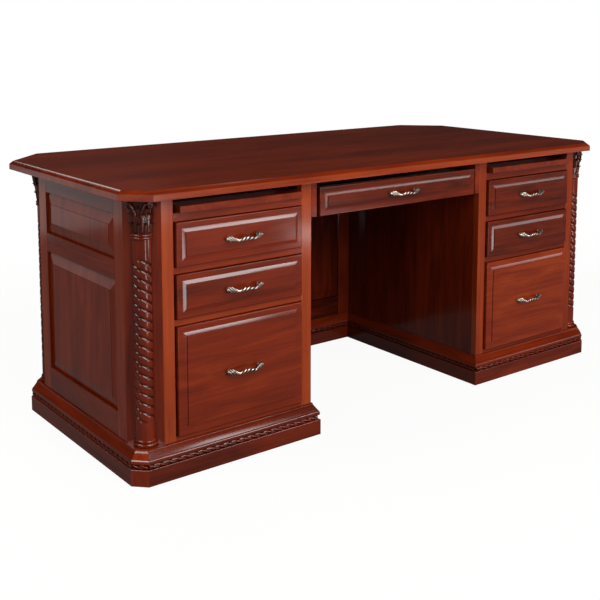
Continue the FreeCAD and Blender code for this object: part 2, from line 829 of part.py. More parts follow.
def drawer_front(drawer):
    """A solid front: flat border, short slope, raised field, drilled for the pull."""
    half, rise = f"{drawer.front_width} / 2", f"{drawer.front_height} / 2"
    slab = board(
        drawer.name + "_slab",
        (f"{drawer.centre} - {half}", f"{drawer.centre} + {half}"),
        (drawer.front_y, drawer.box_y),
        (drawer.front_low, f"{drawer.front_low} + {drawer.front_height}"),
    )
    field = doc.addObject("Part::Wedge", drawer.name + "_field")
    edge = "(front_border + field_run)"
    sizes = {
        "Xmin": f"{edge} - {half}", "Xmax": f"{half} - {edge}",
        "Zmin": f"{edge} - {rise}", "Zmax": f"{rise} - {edge}",
        "X2min": f"front_border - {half}", "X2max": f"{half} - front_border",
        "Z2min": f"front_border - {rise}", "Z2max": f"{rise} - front_border", "Ymax": "field_rise",
    }
    for size, expression in sizes.items():
        field.setExpression(size, bound(expression))
    field.Ymin = 0
    for axis, place in zip("xyz", (drawer.centre, f"{drawer.front_y} - field_rise", drawer.pull_z)):
        field.setExpression(f"Placement.Base.{axis}", bound(place))
    blank = fused(drawer.name + "_front_blank", [slab, field])
    holes = pull_holes(drawer, "front", f"{drawer.front_y} - field_rise", drawer.box_y)
    node(drawer.name + "_front", [drilled(drawer.name + "_drilled_front", blank, holes)])


def drawer_box(drawer):
    """Two sides, inner front, back and bottom."""
    half = f"{drawer.box_width} / 2"
    left, right = f"{drawer.centre} - {half}", f"{drawer.centre} + {half}"
    front, back = drawer.box_y, f"({drawer.box_y} + {drawer.box_depth})"
    z = (drawer.box_low, f"{drawer.box_low} + {drawer.box_height}")
    between = (f"{left} + box_board", f"{right} - box_board")
    bottom = f"({drawer.box_low} + box_bottom_lift)"
    inner_front = board(drawer.name + "_inner_front", between, (front, f"{front} + box_board"), z)
    holes = pull_holes(drawer, "box", front, f"{front} + box_board")
    node(drawer.name + "_box", [
        board(drawer.name + "_left_side", (left, f"{left} + box_board"), (front, back), z),
        board(drawer.name + "_right_side", (f"{right} - box_board", right), (front, back), z),
        drilled(drawer.name + "_drilled_inner_front", inner_front, holes),
        board(drawer.name + "_back", between, (f"{back} - box_board", back), z),
        board(drawer.name + "_bottom", between, (f"{front} + box_board", f"{back} - box_board"),
              (bottom, f"{bottom} + box_bottom")),
    ])


# Stations of the cast pull as shares: place along its half length, reach of its front, height, depth.
PULL_SHARES = (
    (1.00, 0.56, 0.16, 0.20), (0.94, 0.60, 0.62, 0.52), (0.80, 0.74, 1.00, 0.80),
    (0.62, 0.88, 0.74, 0.76), (0.44, 0.95, 0.46, 0.66), (0.24, 0.99, 0.62, 0.84), (0.00, 1.00, 0.72, 0.94),
)
PULL_FACETS = 12


def pull_casting():
    """A fluted bow of leaf ends, necks and a fuller middle on two posts, standing out of its seat at Y 0."""
    length, reach = number("pull_length") / 2, number("pull_reach")
    tall, deep = number("pull_bow_height") / 2, number("pull_bow_depth") / 2
    stations = [(-x, *rest) for x, *rest in PULL_SHARES] + list(PULL_SHARES[-2::-1])
    turns = [2 * math.pi * (side + 0.5) / PULL_FACETS for side in range(PULL_FACETS)]
    rings = []
    for along, stand_off, height_share, depth_share in stations:
        half_height, half_depth = tall * height_share, deep * depth_share
        axis_y = half_depth - stand_off * reach
        ring = [
            V(along * length, axis_y + half_depth * math.cos(turn), half_height * math.sin(turn))
            for turn in turns
        ]
        rings.append(Part.makePolygon(ring + ring[:1]))
    bow = Part.makeLoft(rings, True, False)
    posts = [
        Part.makeCylinder(number("pull_post_radius"), reach * PULL_SHARES[2][1] - deep,
                          V(side * number("pull_centres") / 2, 0, 0), V(0, -1, 0))
        for side in (-1, 1)
    ]
    return bow.fuse(posts).removeSplitter()


def pull_screw():
    """A machine screw from inside the drawer to the post, its head at the far end of Y."""
    shank = number("front_thick + field_rise + box_board")
    body = Part.makeCylinder(number("pull_screw_radius"), shank, V(0, 0, 0), V(0, 1, 0))
    head = Part.makeCylinder(number("screw_head_radius"), number("screw_head"), V(0, shank, 0), V(0, 1, 0))
    return body.fuse(head).removeSplitter()


def drawer_pull(drawer, casting, screw):
    """The cast pull and its two screws."""
    seat = V(number(drawer.centre), number(f"{drawer.front_y} - field_rise"), number(drawer.pull_z))
    pieces = [casting.copy()]
    for side in (-1, 1):
        copy = screw.copy()
        copy.translate(V(side * number("pull_centres") / 2, 0, 0))
        pieces.append(copy)
    for piece in pieces:
        piece.translate(seat)
    drawn(drawer.name + "_pull", Part.makeCompound(pieces))


def channel(name, x, y, z, open_side):
    """A steel C section, open on one side, along Y."""
    blank = board(name + "_blank", x, y, z)
    (near, far), (low, high) = x, z
    hollow_x = (f"{near} + slide_wall", far) if open_side > 0 else (near, f"{far} - slide_wall")
    hollow = board(name + "_hollow", hollow_x, y, (f"{low} + slide_wall", f"{high} - slide_wall"))
    return drilled(name, blank, [hollow])


def slide_span(drawer):
    """Length of a slide along Y, from just behind the face frame."""
    start = f"({FACE_BACK_Y} + slide_setback)"
    return start, f"({drawer.box_y} + {drawer.box_depth} - slide_end_gap)"


def drawer_slides(drawer):
    """Fixed channels, a middle member in the long slides, and the members on the drawer's sides."""
    y = slide_span(drawer)
    half = f"{drawer.box_width} / 2"
    wall = f"({half} + slide_room)"
    fixed, middle, moving = [], [], []

    def height(shrink):
        reach = f"(slide_height / 2 - {shrink})"
        return f"{drawer.slide_z} - {reach}", f"{drawer.slide_z} + {reach}"

    step = "(slide_wall + slide_play)"
    for key, side in (("left", -1), ("right", 1)):
        name = f"{drawer.name}_{key}"
        fixed.append(channel(name + "_channel", *(
            beside(drawer.centre, side, f"({wall} - slide_reach)", wall), y, height("0")), -side))
        shrink, depth = step, step
        if drawer.long_slides:
            middle.append(channel(name + "_middle", *(
                beside(drawer.centre, side, f"({wall} - slide_reach)", f"({wall} - {step})"),
                y, height(step)), -side))
            shrink, depth = f"2 * {step}", f"2 * {step}"
        moving.append(board(
            name + "_member", beside(drawer.centre, side, half, f"({wall} - {depth})"), y, height(shrink)))
    return fixed, middle, moving


def slide_blocks(drawers):
    """Wooden strips between face frame and back that carry the pedestals' slide channels."""
    blocks = []
    for drawer in drawers:
        if drawer.centre == "0":
            continue
        side = -1 if drawer.centre.startswith("-") else 1
        near = f"({BAY_X} - {drawer.box_width} / 2 - slide_room)"
        far = f"({BAY_X} + {drawer.box_width} / 2 + slide_room)"
        z = (f"{drawer.slide_z} - block_height / 2", f"{drawer.slide_z} + block_height / 2")
        y = (FACE_BACK_Y, REAR_FRONT_Y)
        blocks.append(board(drawer.name + "_inner_block", flipped(side, SIDE_X, near), y, z))
        blocks.append(board(
            drawer.name + "_outer_block", flipped(side, far, f"{far} + outer_block_thick"), y, z))
    node("slide_blocks", blocks)


def lap_drawer_hangers():
    """Boards on the pedestals' sides that carry the lap drawer."""
    y = (FACE_Y, f"{FACE_Y} - lap_front_proud + front_thick + lap_box_depth + hanger_margin")
    node("lap_drawer_hangers", [
        board(name + "_hanger", flipped(side, HANGER_X, KNEE_X), y, (LAP_LOW, TOP_LOW))
        for name, side in PEDESTALS
    ])


def all_drawers():
    """Every drawer with its front, box, pull and slides."""
    drawers = list_drawers()
    casting, screw = pull_casting(), pull_screw()
    channels = []
    for drawer in drawers:
        drawer_front(drawer)
        drawer_box(drawer)
        drawer_pull(drawer, casting, screw)
        fixed, middle, moving = drawer_slides(drawer)
        channels += fixed
        node(drawer.name + "_slides", moving)
        if middle:
            node(drawer.name + "_middle_slides", middle)
    node("slide_channels", channels)
    slide_blocks(drawers)
    lap_drawer_hangers()


# Writing boards.
def writing_boards():
    """Pull-out boards above the drawers, and the bearers and fences that guide them."""
    guides = []
    for name, side in PEDESTALS:
        half = f"{BOARD_WIDTH} / 2"
        x = flipped(side, f"{BAY_X} - {half}", f"{BAY_X} + {half}")
        z = (BOARD_LOW, f"{BOARD_LOW} + board_thick")
        node(name + "_writing_board", [board(name + "_board", x, (BOARD_FRONT, BOARD_BACK), z)])
        y = (FACE_BACK_Y, REAR_FRONT_Y)
        bearing = f"({BOARD_LOW} - board_play)"
        for key, hand in (("inner", -1), ("outer", 1)):
            edge = f"({half} - guide_inset - guide_width)"
            low, high = beside(BAY_X, hand, edge, f"({half} - guide_inset)")
            guides.append(board(
                f"{name}_{key}_bearer", flipped(side, low, high), y, (f"{bearing} - guide_thick", bearing)))
            low, high = beside(BAY_X, hand, f"({half} + board_side_play)",
                               f"({half} + board_side_play + fence_thick)")
            guides.append(board(
                f"{name}_{key}_fence", flipped(side, low, high), y, (bearing, f"{BOARD_LOW} + board_thick")))
    node("writing_board_guides", guides)


def build():
    """Makes every sub-part."""
    desk_top()
    top_stretchers()
    top_screws()
    carcass_walls()
    for name, side in PEDESTALS:
        face_frame(name, side)
        inner_side(name, side)
    corner_posts()
    drawn("twisted_columns", at_corners(half_column()))
    drawn("column_capitals", at_corners([half_capital()]))
    base_plinth()
    rope_trim()
    base_moulding()
    base_decks()
    all_drawers()
    writing_boards()


def check():
    """Stops if any object failed or any sub-part has no valid shape."""
    for item in doc.Objects:
        if {"Invalid", "Error"} & set(item.State):
            raise RuntimeError(f"{item.Label} failed: {item.State}")
    for item in nodes:
        if item.Shape.isNull() or not item.Shape.isValid():
            raise RuntimeError(f"{item.Label} has no valid shape")


def export():
    """Writes one file for each sub-part."""
    os.makedirs("parts", exist_ok=True)
    for item in nodes:
        item.Shape.exportStep(f"parts/{item.Label}.step")
    print(len(nodes), "sub-parts written")


build()
doc.recompute()
check()
export()
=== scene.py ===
"""Looks of an executive desk in stained cherry, with rope-twist columns and carved capitals."""

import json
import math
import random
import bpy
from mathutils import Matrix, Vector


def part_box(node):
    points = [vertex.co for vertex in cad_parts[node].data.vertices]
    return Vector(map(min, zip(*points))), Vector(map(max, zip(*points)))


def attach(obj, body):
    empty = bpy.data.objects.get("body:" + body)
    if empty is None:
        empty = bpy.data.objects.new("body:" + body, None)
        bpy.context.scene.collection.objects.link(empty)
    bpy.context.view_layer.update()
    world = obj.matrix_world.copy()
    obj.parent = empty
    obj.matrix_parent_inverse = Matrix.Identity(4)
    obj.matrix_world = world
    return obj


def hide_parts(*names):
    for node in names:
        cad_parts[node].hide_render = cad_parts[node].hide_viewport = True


bl_info = {
    "name": "Executive desk looks",
    "version": (1, 0, 0),
    "blender": (4, 5, 0),
    "location": "3D View > Sidebar > Desk",
    "description": "Dresses the packed desk in stained cherry, carving, cast pulls and studio light",
    "category": "Object",
}

import bmesh
import bpy
import numpy as np
from bpy.props import FloatProperty, FloatVectorProperty, IntProperty, PointerProperty, StringProperty
from mathutils import Matrix, Vector

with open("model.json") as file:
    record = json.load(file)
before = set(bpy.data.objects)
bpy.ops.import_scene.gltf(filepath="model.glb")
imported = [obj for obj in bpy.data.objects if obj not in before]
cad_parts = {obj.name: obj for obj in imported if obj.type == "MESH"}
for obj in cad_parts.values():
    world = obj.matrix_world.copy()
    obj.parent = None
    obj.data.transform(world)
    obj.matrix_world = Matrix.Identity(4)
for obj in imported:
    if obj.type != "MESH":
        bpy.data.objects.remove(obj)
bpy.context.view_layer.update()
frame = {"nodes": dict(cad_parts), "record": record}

MM = 0.001
RECORD = frame["record"]
BODY_OF = {node: body for body, nodes in RECORD["behaviour"]["bodies"].items() for node in nodes}


def length(name, description, millimetres):
    """A length property, its default given in millimetres."""
    return FloatProperty(name=name, description=description, default=millimetres * MM, unit="LENGTH")


def colour(name, description, default):
    """A colour property, kept as an sRGB hex value."""
    return StringProperty(name=name, description=description, default=default)


class DeskWood(bpy.types.PropertyGroup):
    """Stain, grain and worked edges of the wooden pieces."""

    stain_dark: colour("Stain, dark figure", "Cherry stain where the figure is darkest", "#3A1008")
    stain_body: colour("Stain, body", "Cherry stain over most of a board", "#7A260C")
    stain_light: colour("Stain, light figure", "Cherry stain where the figure is lightest", "#A8451B")
    # This colour is dark glaze in the carving, and also painted shade in hollows and inner corners.
    glaze_and_shade: colour("Glaze", "Dark glaze left in carved hollows", "#1C0907")
    maple_dark: colour("Maple, dark figure", "Drawer maple in its darker streaks", "#C79E6B")
    maple_light: colour("Maple, light figure", "Drawer maple between its streaks", "#E2C598")
    poplar_dark: colour("Poplar, dark figure", "Hidden poplar under its brown wash, in the streaks", "#3B1F13")
    poplar_light: colour(
        "Poplar, light figure", "Hidden poplar under its brown wash, between the streaks", "#5E3623")
    arris: length("Arris", "Rounding sanded on a board's sharp edges", 0.8)
    plank: length("Plank width", "Width of the boards glued up for the top", 115)


class DeskEdges(bpy.types.PropertyGroup):
    """Shapes worked on the top, the drawer fronts and the base."""

    top_front_clip: length("Front clip", "Leg of the top's clipped front corners", 64)
    top_back_clip: length("Back clip", "Leg of the top's clipped back corners", 130)
    top_edge_rise: length("Edge rise", "Height of the slope round the top", 9.5)
    top_edge_run: length("Edge run", "Width of the slope round the top", 12)
    top_edge_swell: length("Edge swell", "How far that slope bellies out", 0.8)
    front_round: length("Front round", "Rounding of a drawer front's outer edge", 2.5)
    front_border: length("Front border", "Flat border round a drawer front's raised field", 16)
    field_rise: length("Field rise", "Height of the raised field", 4)
    field_run: length("Field run", "Width of the slope up to the field", 10)
    field_fillet: length("Field fillet", "Height of the small square step round a drawer front's field", 2.3)
    panel_fillet: length("Panel fillet", "Height of the small square step round a panel's field", 0.8)
    # Painted shade: a dark line laid in each inner corner of a panel.
    shade_line: length("Glaze line", "Width of the dark glaze in an inner corner", 3)
    base_clip: length("Base clip", "Leg of the base's clipped outer corners", 33)
    rope_inset: length("Rope inset", "How far the rope sits behind the plinth's face", 0.2)
    rope_lead: length("Rope lead", "Length of one full turn of the rope bead", 78)
    moulding_land: length("Moulding land", "Flat on top of the moulding", 2)


class DeskCarving(bpy.types.PropertyGroup):
    """Columns, capitals and pulls."""

    shaft_radius: length("Shaft radius", "Radius of the columns' plain shaft", 25.4)
    twist_low: length("Twist foot", "Height where the rope twist starts", 154)
    twist_high: length("Twist head", "Height where the rope twist ends", 581)
    twist_lead: length("Twist lead", "Height of one full turn of a strand", 74)
    twist_groove: length("Twist groove", "Depth between two strands", 3.6)
    strands: IntProperty(name="Strands", description="Strands of the rope twist", default=3)
    pull_length: length("Pull length", "Overall length of a cast pull", 115)
    pull_centres: length("Pull centres", "Distance between a pull's screws", 96)
    pull_reach: length("Pull reach", "How far a pull stands off its drawer", 24)
    pull_height: length("Pull height", "Height of a pull's leaf ends", 16.5)
    pull_depth: length("Pull depth", "Depth of a pull's bow", 8)
    metal_light: colour("Cast metal, high", "Rubbed metal on the pulls' ridges", "#E0D0C1")
    metal_dark: colour("Cast metal, hollow", "Dark patina in the pulls' hollows", "#2A1D14")
    zinc: colour("Zinc plate", "Bright zinc on slides and screws", "#B7BABD")


class DeskStage(bpy.types.PropertyGroup):
    """Camera, lamps and floor."""

    lens: FloatProperty(name="Lens", description="Focal length in millimetres", default=59.35)
    shift: FloatProperty(name="Shift", description="Vertical shift of the frame", default=-0.25)
    place: FloatVectorProperty(
        name="Camera place", description="Where the camera stands", default=(-2.0116, -2.5556, 1.148),
        unit="LENGTH")
    yaw: FloatProperty(
        name="Yaw", description="Turn of the view from +Y towards +X", default=math.radians(37.287),
        subtype="ANGLE")
    pitch: FloatProperty(
        name="Pitch", description="Tilt of the view below level", default=math.radians(6.914),
        subtype="ANGLE")
    floor: colour("Floor", "Matt studio floor", "#42403E")
    studio: colour("Studio", "Dim walls that the lacquer mirrors", "#262322")


PROPERTY_GROUPS = {
    "desk_wood": DeskWood, "desk_edges": DeskEdges, "desk_carving": DeskCarving, "desk_stage": DeskStage,
}


# Materials


def linear(hex_value):
    """An sRGB hex colour as linear RGBA."""
    channels = [int(hex_value[index:index + 2], 16) / 255 for index in (1, 3, 5)]
    return [c / 12.92 if c <= 0.04045 else ((c + 0.055) / 1.055) ** 2.4 for c in channels] + [1.0]


def add(tree, kind, inputs=(), stops=(), **settings):
    """Adds a node with its settings and colour stops; inputs are values, or sockets to link."""
    made = tree.nodes.new(kind)
    for name, value in settings.items():
        setattr(made, name, value)
    for name, value in dict(inputs).items():
        if isinstance(value, bpy.types.NodeSocket):
            tree.links.new(value, made.inputs[name])
        else:
            made.inputs[name].default_value = value
    for index, (position, shade) in enumerate(stops):
        elements = made.color_ramp.elements
        element = elements[index] if index < len(elements) else elements.new(position)
        element.position = position
        element.color = linear(shade)
    return made


def new_material(name):
    """A fresh material, its node tree and its surface shader."""
    material = bpy.data.materials.new(name)
    material.use_nodes = True
    tree = material.node_tree
    return material, tree, tree.nodes["Principled BSDF"]


def set_shader(shader, **values):
    """Sets constant values on the shader's own sockets."""
    for name, value in values.items():
        shader.inputs[name.replace("_", " ")].default_value = value


def streaks(tree, grain, along, across, detail, distortion=0.0):
    """Noise drawn out along the grain; its cells measure along by across, in millimetres."""
    stretched = add(tree, "ShaderNodeMapping", {
        "Vector": grain, "Scale": (1 / (along * MM), 1 / (across * MM), 1 / (across * MM))})
    return add(tree, "ShaderNodeTexNoise", {
        "Vector": stretched.outputs["Vector"], "Scale": 1.0, "Detail": detail, "Roughness": 0.55,
        "Distortion": distortion}).outputs["Fac"]


def sum_of(tree, *terms):
    """Weighted sum of (socket, weight) pairs and a constant."""
    total = terms[-1]
    for socket, weight in terms[:-1]:
        total = add(tree, "ShaderNodeMath", {0: socket, 1: weight, 2: total}, operation="MULTIPLY_ADD").outputs[0]
    return total


def glued_planks(tree, grain):
    """Grain of a slab glued up from planks: each shifted along its length, with its own tone."""
    width = bpy.context.scene.desk_wood.plank
    parts = add(tree, "ShaderNodeSeparateXYZ", {"Vector": grain})
    count = add(tree, "ShaderNodeMath", {0: parts.outputs["Y"], 1: width}, operation="DIVIDE").outputs[0]
    index = add(tree, "ShaderNodeMath", {0: count}, operation="FLOOR").outputs[0]
    pick = add(tree, "ShaderNodeTexWhiteNoise", {"W": index}, noise_dimensions="1D")
    moved = add(tree, "ShaderNodeVectorMath", {0: grain, 1: pick.outputs["Color"]}, operation="ADD")
    return moved.outputs["Vector"], pick.outputs["Value"]


# Sawn ends drink more stain than the faces and are made darker still as painted shade on the top's ends and
# clipped corners; glued planks differ by this much.
END_GRAIN_AND_SHADE_TONE = -0.15
PLANK_SPREAD = 0.12


def stained_cherry(name, glued=False):
    """Cherry, planed and sanded, dark red stain, sprayed lacquer rubbed to a semi-gloss.

    The eye sees soft cloudy figure, fine darker streaks along the board, dark glaze and painted shade in the
    carving and inner corners, and a clear, slightly soft reflection.
    """
    wood = bpy.context.scene.desk_wood
    material, tree, shader = new_material(name)
    grain = add(tree, "ShaderNodeAttribute", attribute_name="grain").outputs["Vector"]
    tone = add(tree, "ShaderNodeAttribute", attribute_name="tone").outputs["Fac"]
    hollow = add(tree, "ShaderNodeAttribute", attribute_name="hollow").outputs["Fac"]
    planks = []
    if glued:
        grain, pick = glued_planks(tree, grain)
        planks.append((pick, PLANK_SPREAD))
        # Painted shade with the end grain's stain: faces turned towards the ends of the top are made darker.
        facing = add(tree, "ShaderNodeSeparateXYZ", {
            "Vector": add(tree, "ShaderNodeNewGeometry").outputs["Normal"]}).outputs["X"]
        end_grain_and_shade = add(tree, "ShaderNodeMath", {0: facing}, operation="ABSOLUTE").outputs[0]
        tone = sum_of(tree, (end_grain_and_shade, END_GRAIN_AND_SHADE_TONE), tone)
    figure = streaks(tree, grain, 340, 46, 3.0, 0.9)
    lines = streaks(tree, grain, 260, 5, 2.0, 0.3)
    # Cherry's pores are about 0.1 mm wide; they are drawn ten times as wide, to show at all.
    pores = streaks(tree, grain, 16, 1.1, 1.0)
    shade = sum_of(tree, (figure, 0.50), (lines, 0.24), (pores, 0.08), (tone, 0.6), *planks, 0.06)
    stain = add(tree, "ShaderNodeValToRGB", {"Fac": shade}, (
        (0.18, wood.stain_dark), (0.50, wood.stain_body), (0.86, wood.stain_light))).outputs["Color"]
    # Dark glaze and painted shade, by the hollow attribute, in the carving and inner corners.
    # A Mix node's colours go in at 6 and 7 and come out at 2.
    glazed_and_shaded = add(tree, "ShaderNodeMix", {
        "Factor": hollow, 6: stain, 7: linear(wood.glaze_and_shade)}, data_type="RGBA").outputs[2]
    tree.links.new(glazed_and_shaded, shader.inputs["Base Color"])
    dents = add(tree, "ShaderNodeBump", {"Height": pores, "Strength": 0.05, "Distance": 0.3 * MM})
    tree.links.new(dents.outputs["Normal"], shader.inputs["Normal"])
    set_shader(shader, Roughness=0.12, IOR=1.5)
    return material


def straight_grained(name, dark, light, figure_width, roughness):
    """A plain wood with straight streaks; the width of its figure is in millimetres."""
    material, tree, shader = new_material(name)
    grain = add(tree, "ShaderNodeAttribute", attribute_name="grain").outputs["Vector"]
    tone = add(tree, "ShaderNodeAttribute", attribute_name="tone").outputs["Fac"]
    figure = streaks(tree, grain, 300, figure_width, 3.0, 0.6)
    lines = streaks(tree, grain, 180, 2.5, 2.0)
    shade = sum_of(tree, (figure, 0.8), (lines, 0.3), (tone, 0.5), -0.05)
    streaked = add(tree, "ShaderNodeValToRGB", {"Fac": shade}, ((0.25, dark), (0.75, light)))
    tree.links.new(streaked.outputs["Color"], shader.inputs["Base Color"])
    set_shader(shader, Roughness=roughness, IOR=1.45)
    return material


def lacquered_maple(name):
    """Maple, planed, with a thin satin lacquer: the eye sees pale straight streaks and a dull sheen."""
    wood = bpy.context.scene.desk_wood
    return straight_grained(name, wood.maple_dark, wood.maple_light, 24, 0.45)


def washed_poplar(name):
    """Poplar, planed, with a brown wash: the eye sees dim straight streaks, nearly matt."""
    wood = bpy.context.scene.desk_wood
    return straight_grained(name, wood.poplar_dark, wood.poplar_light, 32, 0.6)


def cast_brass(name):
    """Zinc alloy cast in a leaf pattern, brass plated, patinated black and rubbed back.

    The eye sees pale warm metal on every ridge and near black in the hollows.
    """
    carving = bpy.context.scene.desk_carving
    material, tree, shader = new_material(name)
    hollow = add(tree, "ShaderNodeAttribute", attribute_name="hollow").outputs["Fac"]
    place = add(tree, "ShaderNodeTexCoord").outputs["Object"]
    wear = add(tree, "ShaderNodeTexNoise", {"Vector": place, "Scale": 1 / (4 * MM), "Detail": 3.0})
    shade = sum_of(tree, (hollow, 1.0), (wear.outputs["Fac"], 0.5), -0.25)
    rubbed = add(tree, "ShaderNodeValToRGB", {"Fac": shade}, (
        (0.10, carving.metal_light), (0.75, carving.metal_dark)))
    tree.links.new(rubbed.outputs["Color"], shader.inputs["Base Color"])
    set_shader(shader, Metallic=1.0, Roughness=0.34)
    return material


def zinc_steel(name):
    """Rolled steel with bright zinc plate: cool grey, faint lengthwise roll marks."""
    carving = bpy.context.scene.desk_carving
    material, tree, shader = new_material(name)
    place = add(tree, "ShaderNodeTexCoord").outputs["Object"]
    rolled = add(tree, "ShaderNodeMapping", {
        "Vector": place, "Scale": (1 / (1.5 * MM), 1 / (90 * MM), 1 / (1.5 * MM))})
    marks = add(tree, "ShaderNodeTexNoise", {"Vector": rolled.outputs["Vector"], "Scale": 1.0, "Detail": 2.0})
    rough = add(tree, "ShaderNodeMapRange", {"Value": marks.outputs["Fac"], "To Min": 0.28, "To Max": 0.42})
    tree.links.new(rough.outputs["Result"], shader.inputs["Roughness"])
    set_shader(shader, Base_Color=linear(carving.zinc), Metallic=1.0)
    return material


def glued_cherry(name):
    """Stained cherry again, on boards glued edge to edge: the eye sees each board's own tone."""
    return stained_cherry(name, glued=True)


MATERIALS = {
    "cherry": ("stained cherry, semi-gloss lacquer", stained_cherry),
    "cherry_top": ("stained cherry, glued-up planks", glued_cherry),
    "maple": ("maple, satin lacquer", lacquered_maple),
    "poplar": ("poplar, planed, brown wash", washed_poplar),
    "cast_brass": ("cast brass plate, antiqued", cast_brass),
    "zinc_steel": ("steel, bright zinc plate", zinc_steel),
}


def finish_of(kind):
    """The material of a kind, made once."""
    name, make = MATERIALS[kind]
    return bpy.data.materials.get(name) or make(name)


# Meshes


def add_piece(name, node, vertices, faces, kind, smooth_below=None):
    """A mesh that stands for a CAD node and rides on its body; edges under an angle in degrees are smooth."""
    mesh = bpy.data.meshes.new(name)
    mesh.from_pydata([tuple(vertex) for vertex in vertices], [], faces)
    return adopt(mesh, name, node, kind, smooth_below)


def adopt(mesh, name, node, kind, smooth_below=None):
    """Puts a mesh in the scene in place of a CAD node, with outward faces and a material."""
    work = bmesh.new()
    work.from_mesh(mesh)
    bmesh.ops.recalc_face_normals(work, faces=work.faces)
    work.to_mesh(mesh)
    work.free()
    piece = bpy.data.objects.new(name, mesh)
    bpy.context.collection.objects.link(piece)
    mesh.materials.append(finish_of(kind))
    if smooth_below is not None:
        mesh.shade_smooth()
        mesh.set_sharp_from_angle(angle=math.radians(smooth_below))
    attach(piece, BODY_OF[node])
    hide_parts(node)
    return piece


def islands_of(mesh):
    """Vertex numbers of each separate solid in a mesh."""
    parent = list(range(len(mesh.vertices)))

    def root(vertex):
        while parent[vertex] != vertex:
            parent[vertex] = parent[parent[vertex]]
            vertex = parent[vertex]
        return vertex

    for edge in mesh.edges:
        first, second = (root(vertex) for vertex in edge.vertices)
        parent[first] = second
    groups = {}
    for vertex in range(len(parent)):
        groups.setdefault(root(vertex), []).append(vertex)
    return list(groups.values())


# A tone moves a board along the stain, darker below zero; upright boards took it lighter than level ones.
UPRIGHT_TONE = 0.22
LEVEL_TONE = -0.06
# No two boards are alike: each is up to this much lighter or darker.
TONE_SPREAD = 0.06
# Where in the tree a board was cut: how far its grain may be shifted, in metres.
TREE_REACH = 4


def lay_grain(piece, along=None, tone=0.0):
    """Gives each board its grain: lengthwise unless an axis is named, at a random cut of the tree."""
    mesh = piece.data
    chance = random.Random(piece.name)
    places = np.empty(len(mesh.vertices) * 3)
    mesh.vertices.foreach_get("co", places)
    places = places.reshape(-1, 3)
    grain = np.zeros_like(places)
    tones = np.zeros(len(places))
    for island in islands_of(mesh):
        board = places[island]
        size = board.max(axis=0) - board.min(axis=0)
        axis = int(size.argmax()) if along is None else along
        order = [axis, (axis + 1) % 3, (axis + 2) % 3]
        cut = [chance.uniform(-TREE_REACH, TREE_REACH) for _ in range(3)]
        grain[island] = board[:, order] + cut
        upright = UPRIGHT_TONE if axis == 2 else LEVEL_TONE
        tones[island] = tone + upright + chance.uniform(-TONE_SPREAD, TONE_SPREAD)
    mesh.attributes.new("grain", "FLOAT_VECTOR", "POINT").data.foreach_set("vector", grain.ravel())
    mesh.attributes.new("tone", "FLOAT", "POINT").data.foreach_set("value", tones)
    return piece


def mark_hollows(piece, depths):
    """Stores, from 0 to 1, how dark each vertex is made: patina on the pulls, dark glaze and painted shade on the
    wood.
    """
    piece.data.attributes.new("hollow", "FLOAT", "POINT").data.foreach_set(
        "value", np.clip(np.asarray(depths, dtype=float), 0, 1))
    return piece


WELD = 0.005 * MM
# Faces that meet flatter than this are one face, and edges sharper than this get a rounded arris.
FLAT_ANGLE = math.radians(1)
SHARP_ANGLE = math.radians(25)
ARRIS_FACETS = 2


def solids_of(node):
    """Faces of each solid in a CAD node, as lists of corner places."""
    work = bmesh.new()
    work.from_mesh(frame["nodes"][node].data)
    bmesh.ops.remove_doubles(work, verts=work.verts, dist=WELD)
    left = set(work.faces)
    solids = []
    for first in work.faces:
        if first not in left:
            continue
        left.remove(first)
        queue = [first]
        found = []
        while queue:
            face = queue.pop()
            found.append([vertex.co.copy() for vertex in face.verts])
            for edge in face.edges:
                if len(edge.link_faces) == 2:
                    for other in edge.link_faces:
                        if other in left:
                            left.remove(other)
                            queue.append(other)
        solids.append(found)
    work.free()
    return solids


def eased_boards(name, node, kind, arris, along=None, tone=0.0):
    """The boards of a CAD node with their arrises rounded."""
    whole = bmesh.new()
    for faces in solids_of(node):
        board = bmesh.new()
        for corners in faces:
            board.faces.new([board.verts.new(corner) for corner in corners])
        bmesh.ops.remove_doubles(board, verts=board.verts, dist=WELD)
        bmesh.ops.dissolve_limit(board, angle_limit=FLAT_ANGLE, verts=board.verts, edges=board.edges)
        sharp = [edge for edge in board.edges if edge.is_manifold and edge.calc_face_angle() > SHARP_ANGLE]
        bmesh.ops.bevel(
            board, geom=sharp, offset=arris, segments=ARRIS_FACETS, profile=0.5, affect="EDGES",
            clamp_overlap=True)
        part = bpy.data.meshes.new("board")
        board.to_mesh(part)
        board.free()
        whole.from_mesh(part)
        bpy.data.meshes.remove(part)
    mesh = bpy.data.meshes.new(name)
    whole.to_mesh(mesh)
    whole.free()
    return lay_grain(adopt(mesh, name, node, kind), along, tone)


def stacked(loops, closed=False):
    """Vertices and faces of a skin over equal loops of points, capped unless it closes on itself."""
    count = len(loops[0])
    vertices = [point for loop in loops for point in loop]
    faces = []
    for row in range(len(loops) if closed else len(loops) - 1):
        low, high = row * count, (row + 1) % len(loops) * count
        for index in range(count):
            after = (index + 1) % count
            faces.append((low + index, low + after, high + after, high + index))
    if not closed:
        faces.append(tuple(range(count - 1, -1, -1)))
        faces.append(tuple(range((len(loops) - 1) * count, len(loops) * count)))
    return vertices, faces


def merge(parts):
    """Several (vertices, faces) as one."""
    vertices, faces = [], []
    for points, sides in parts:
        start = len(vertices)
        vertices += list(points)
        faces += [tuple(start + index for index in side) for side in sides]
    return vertices, faces


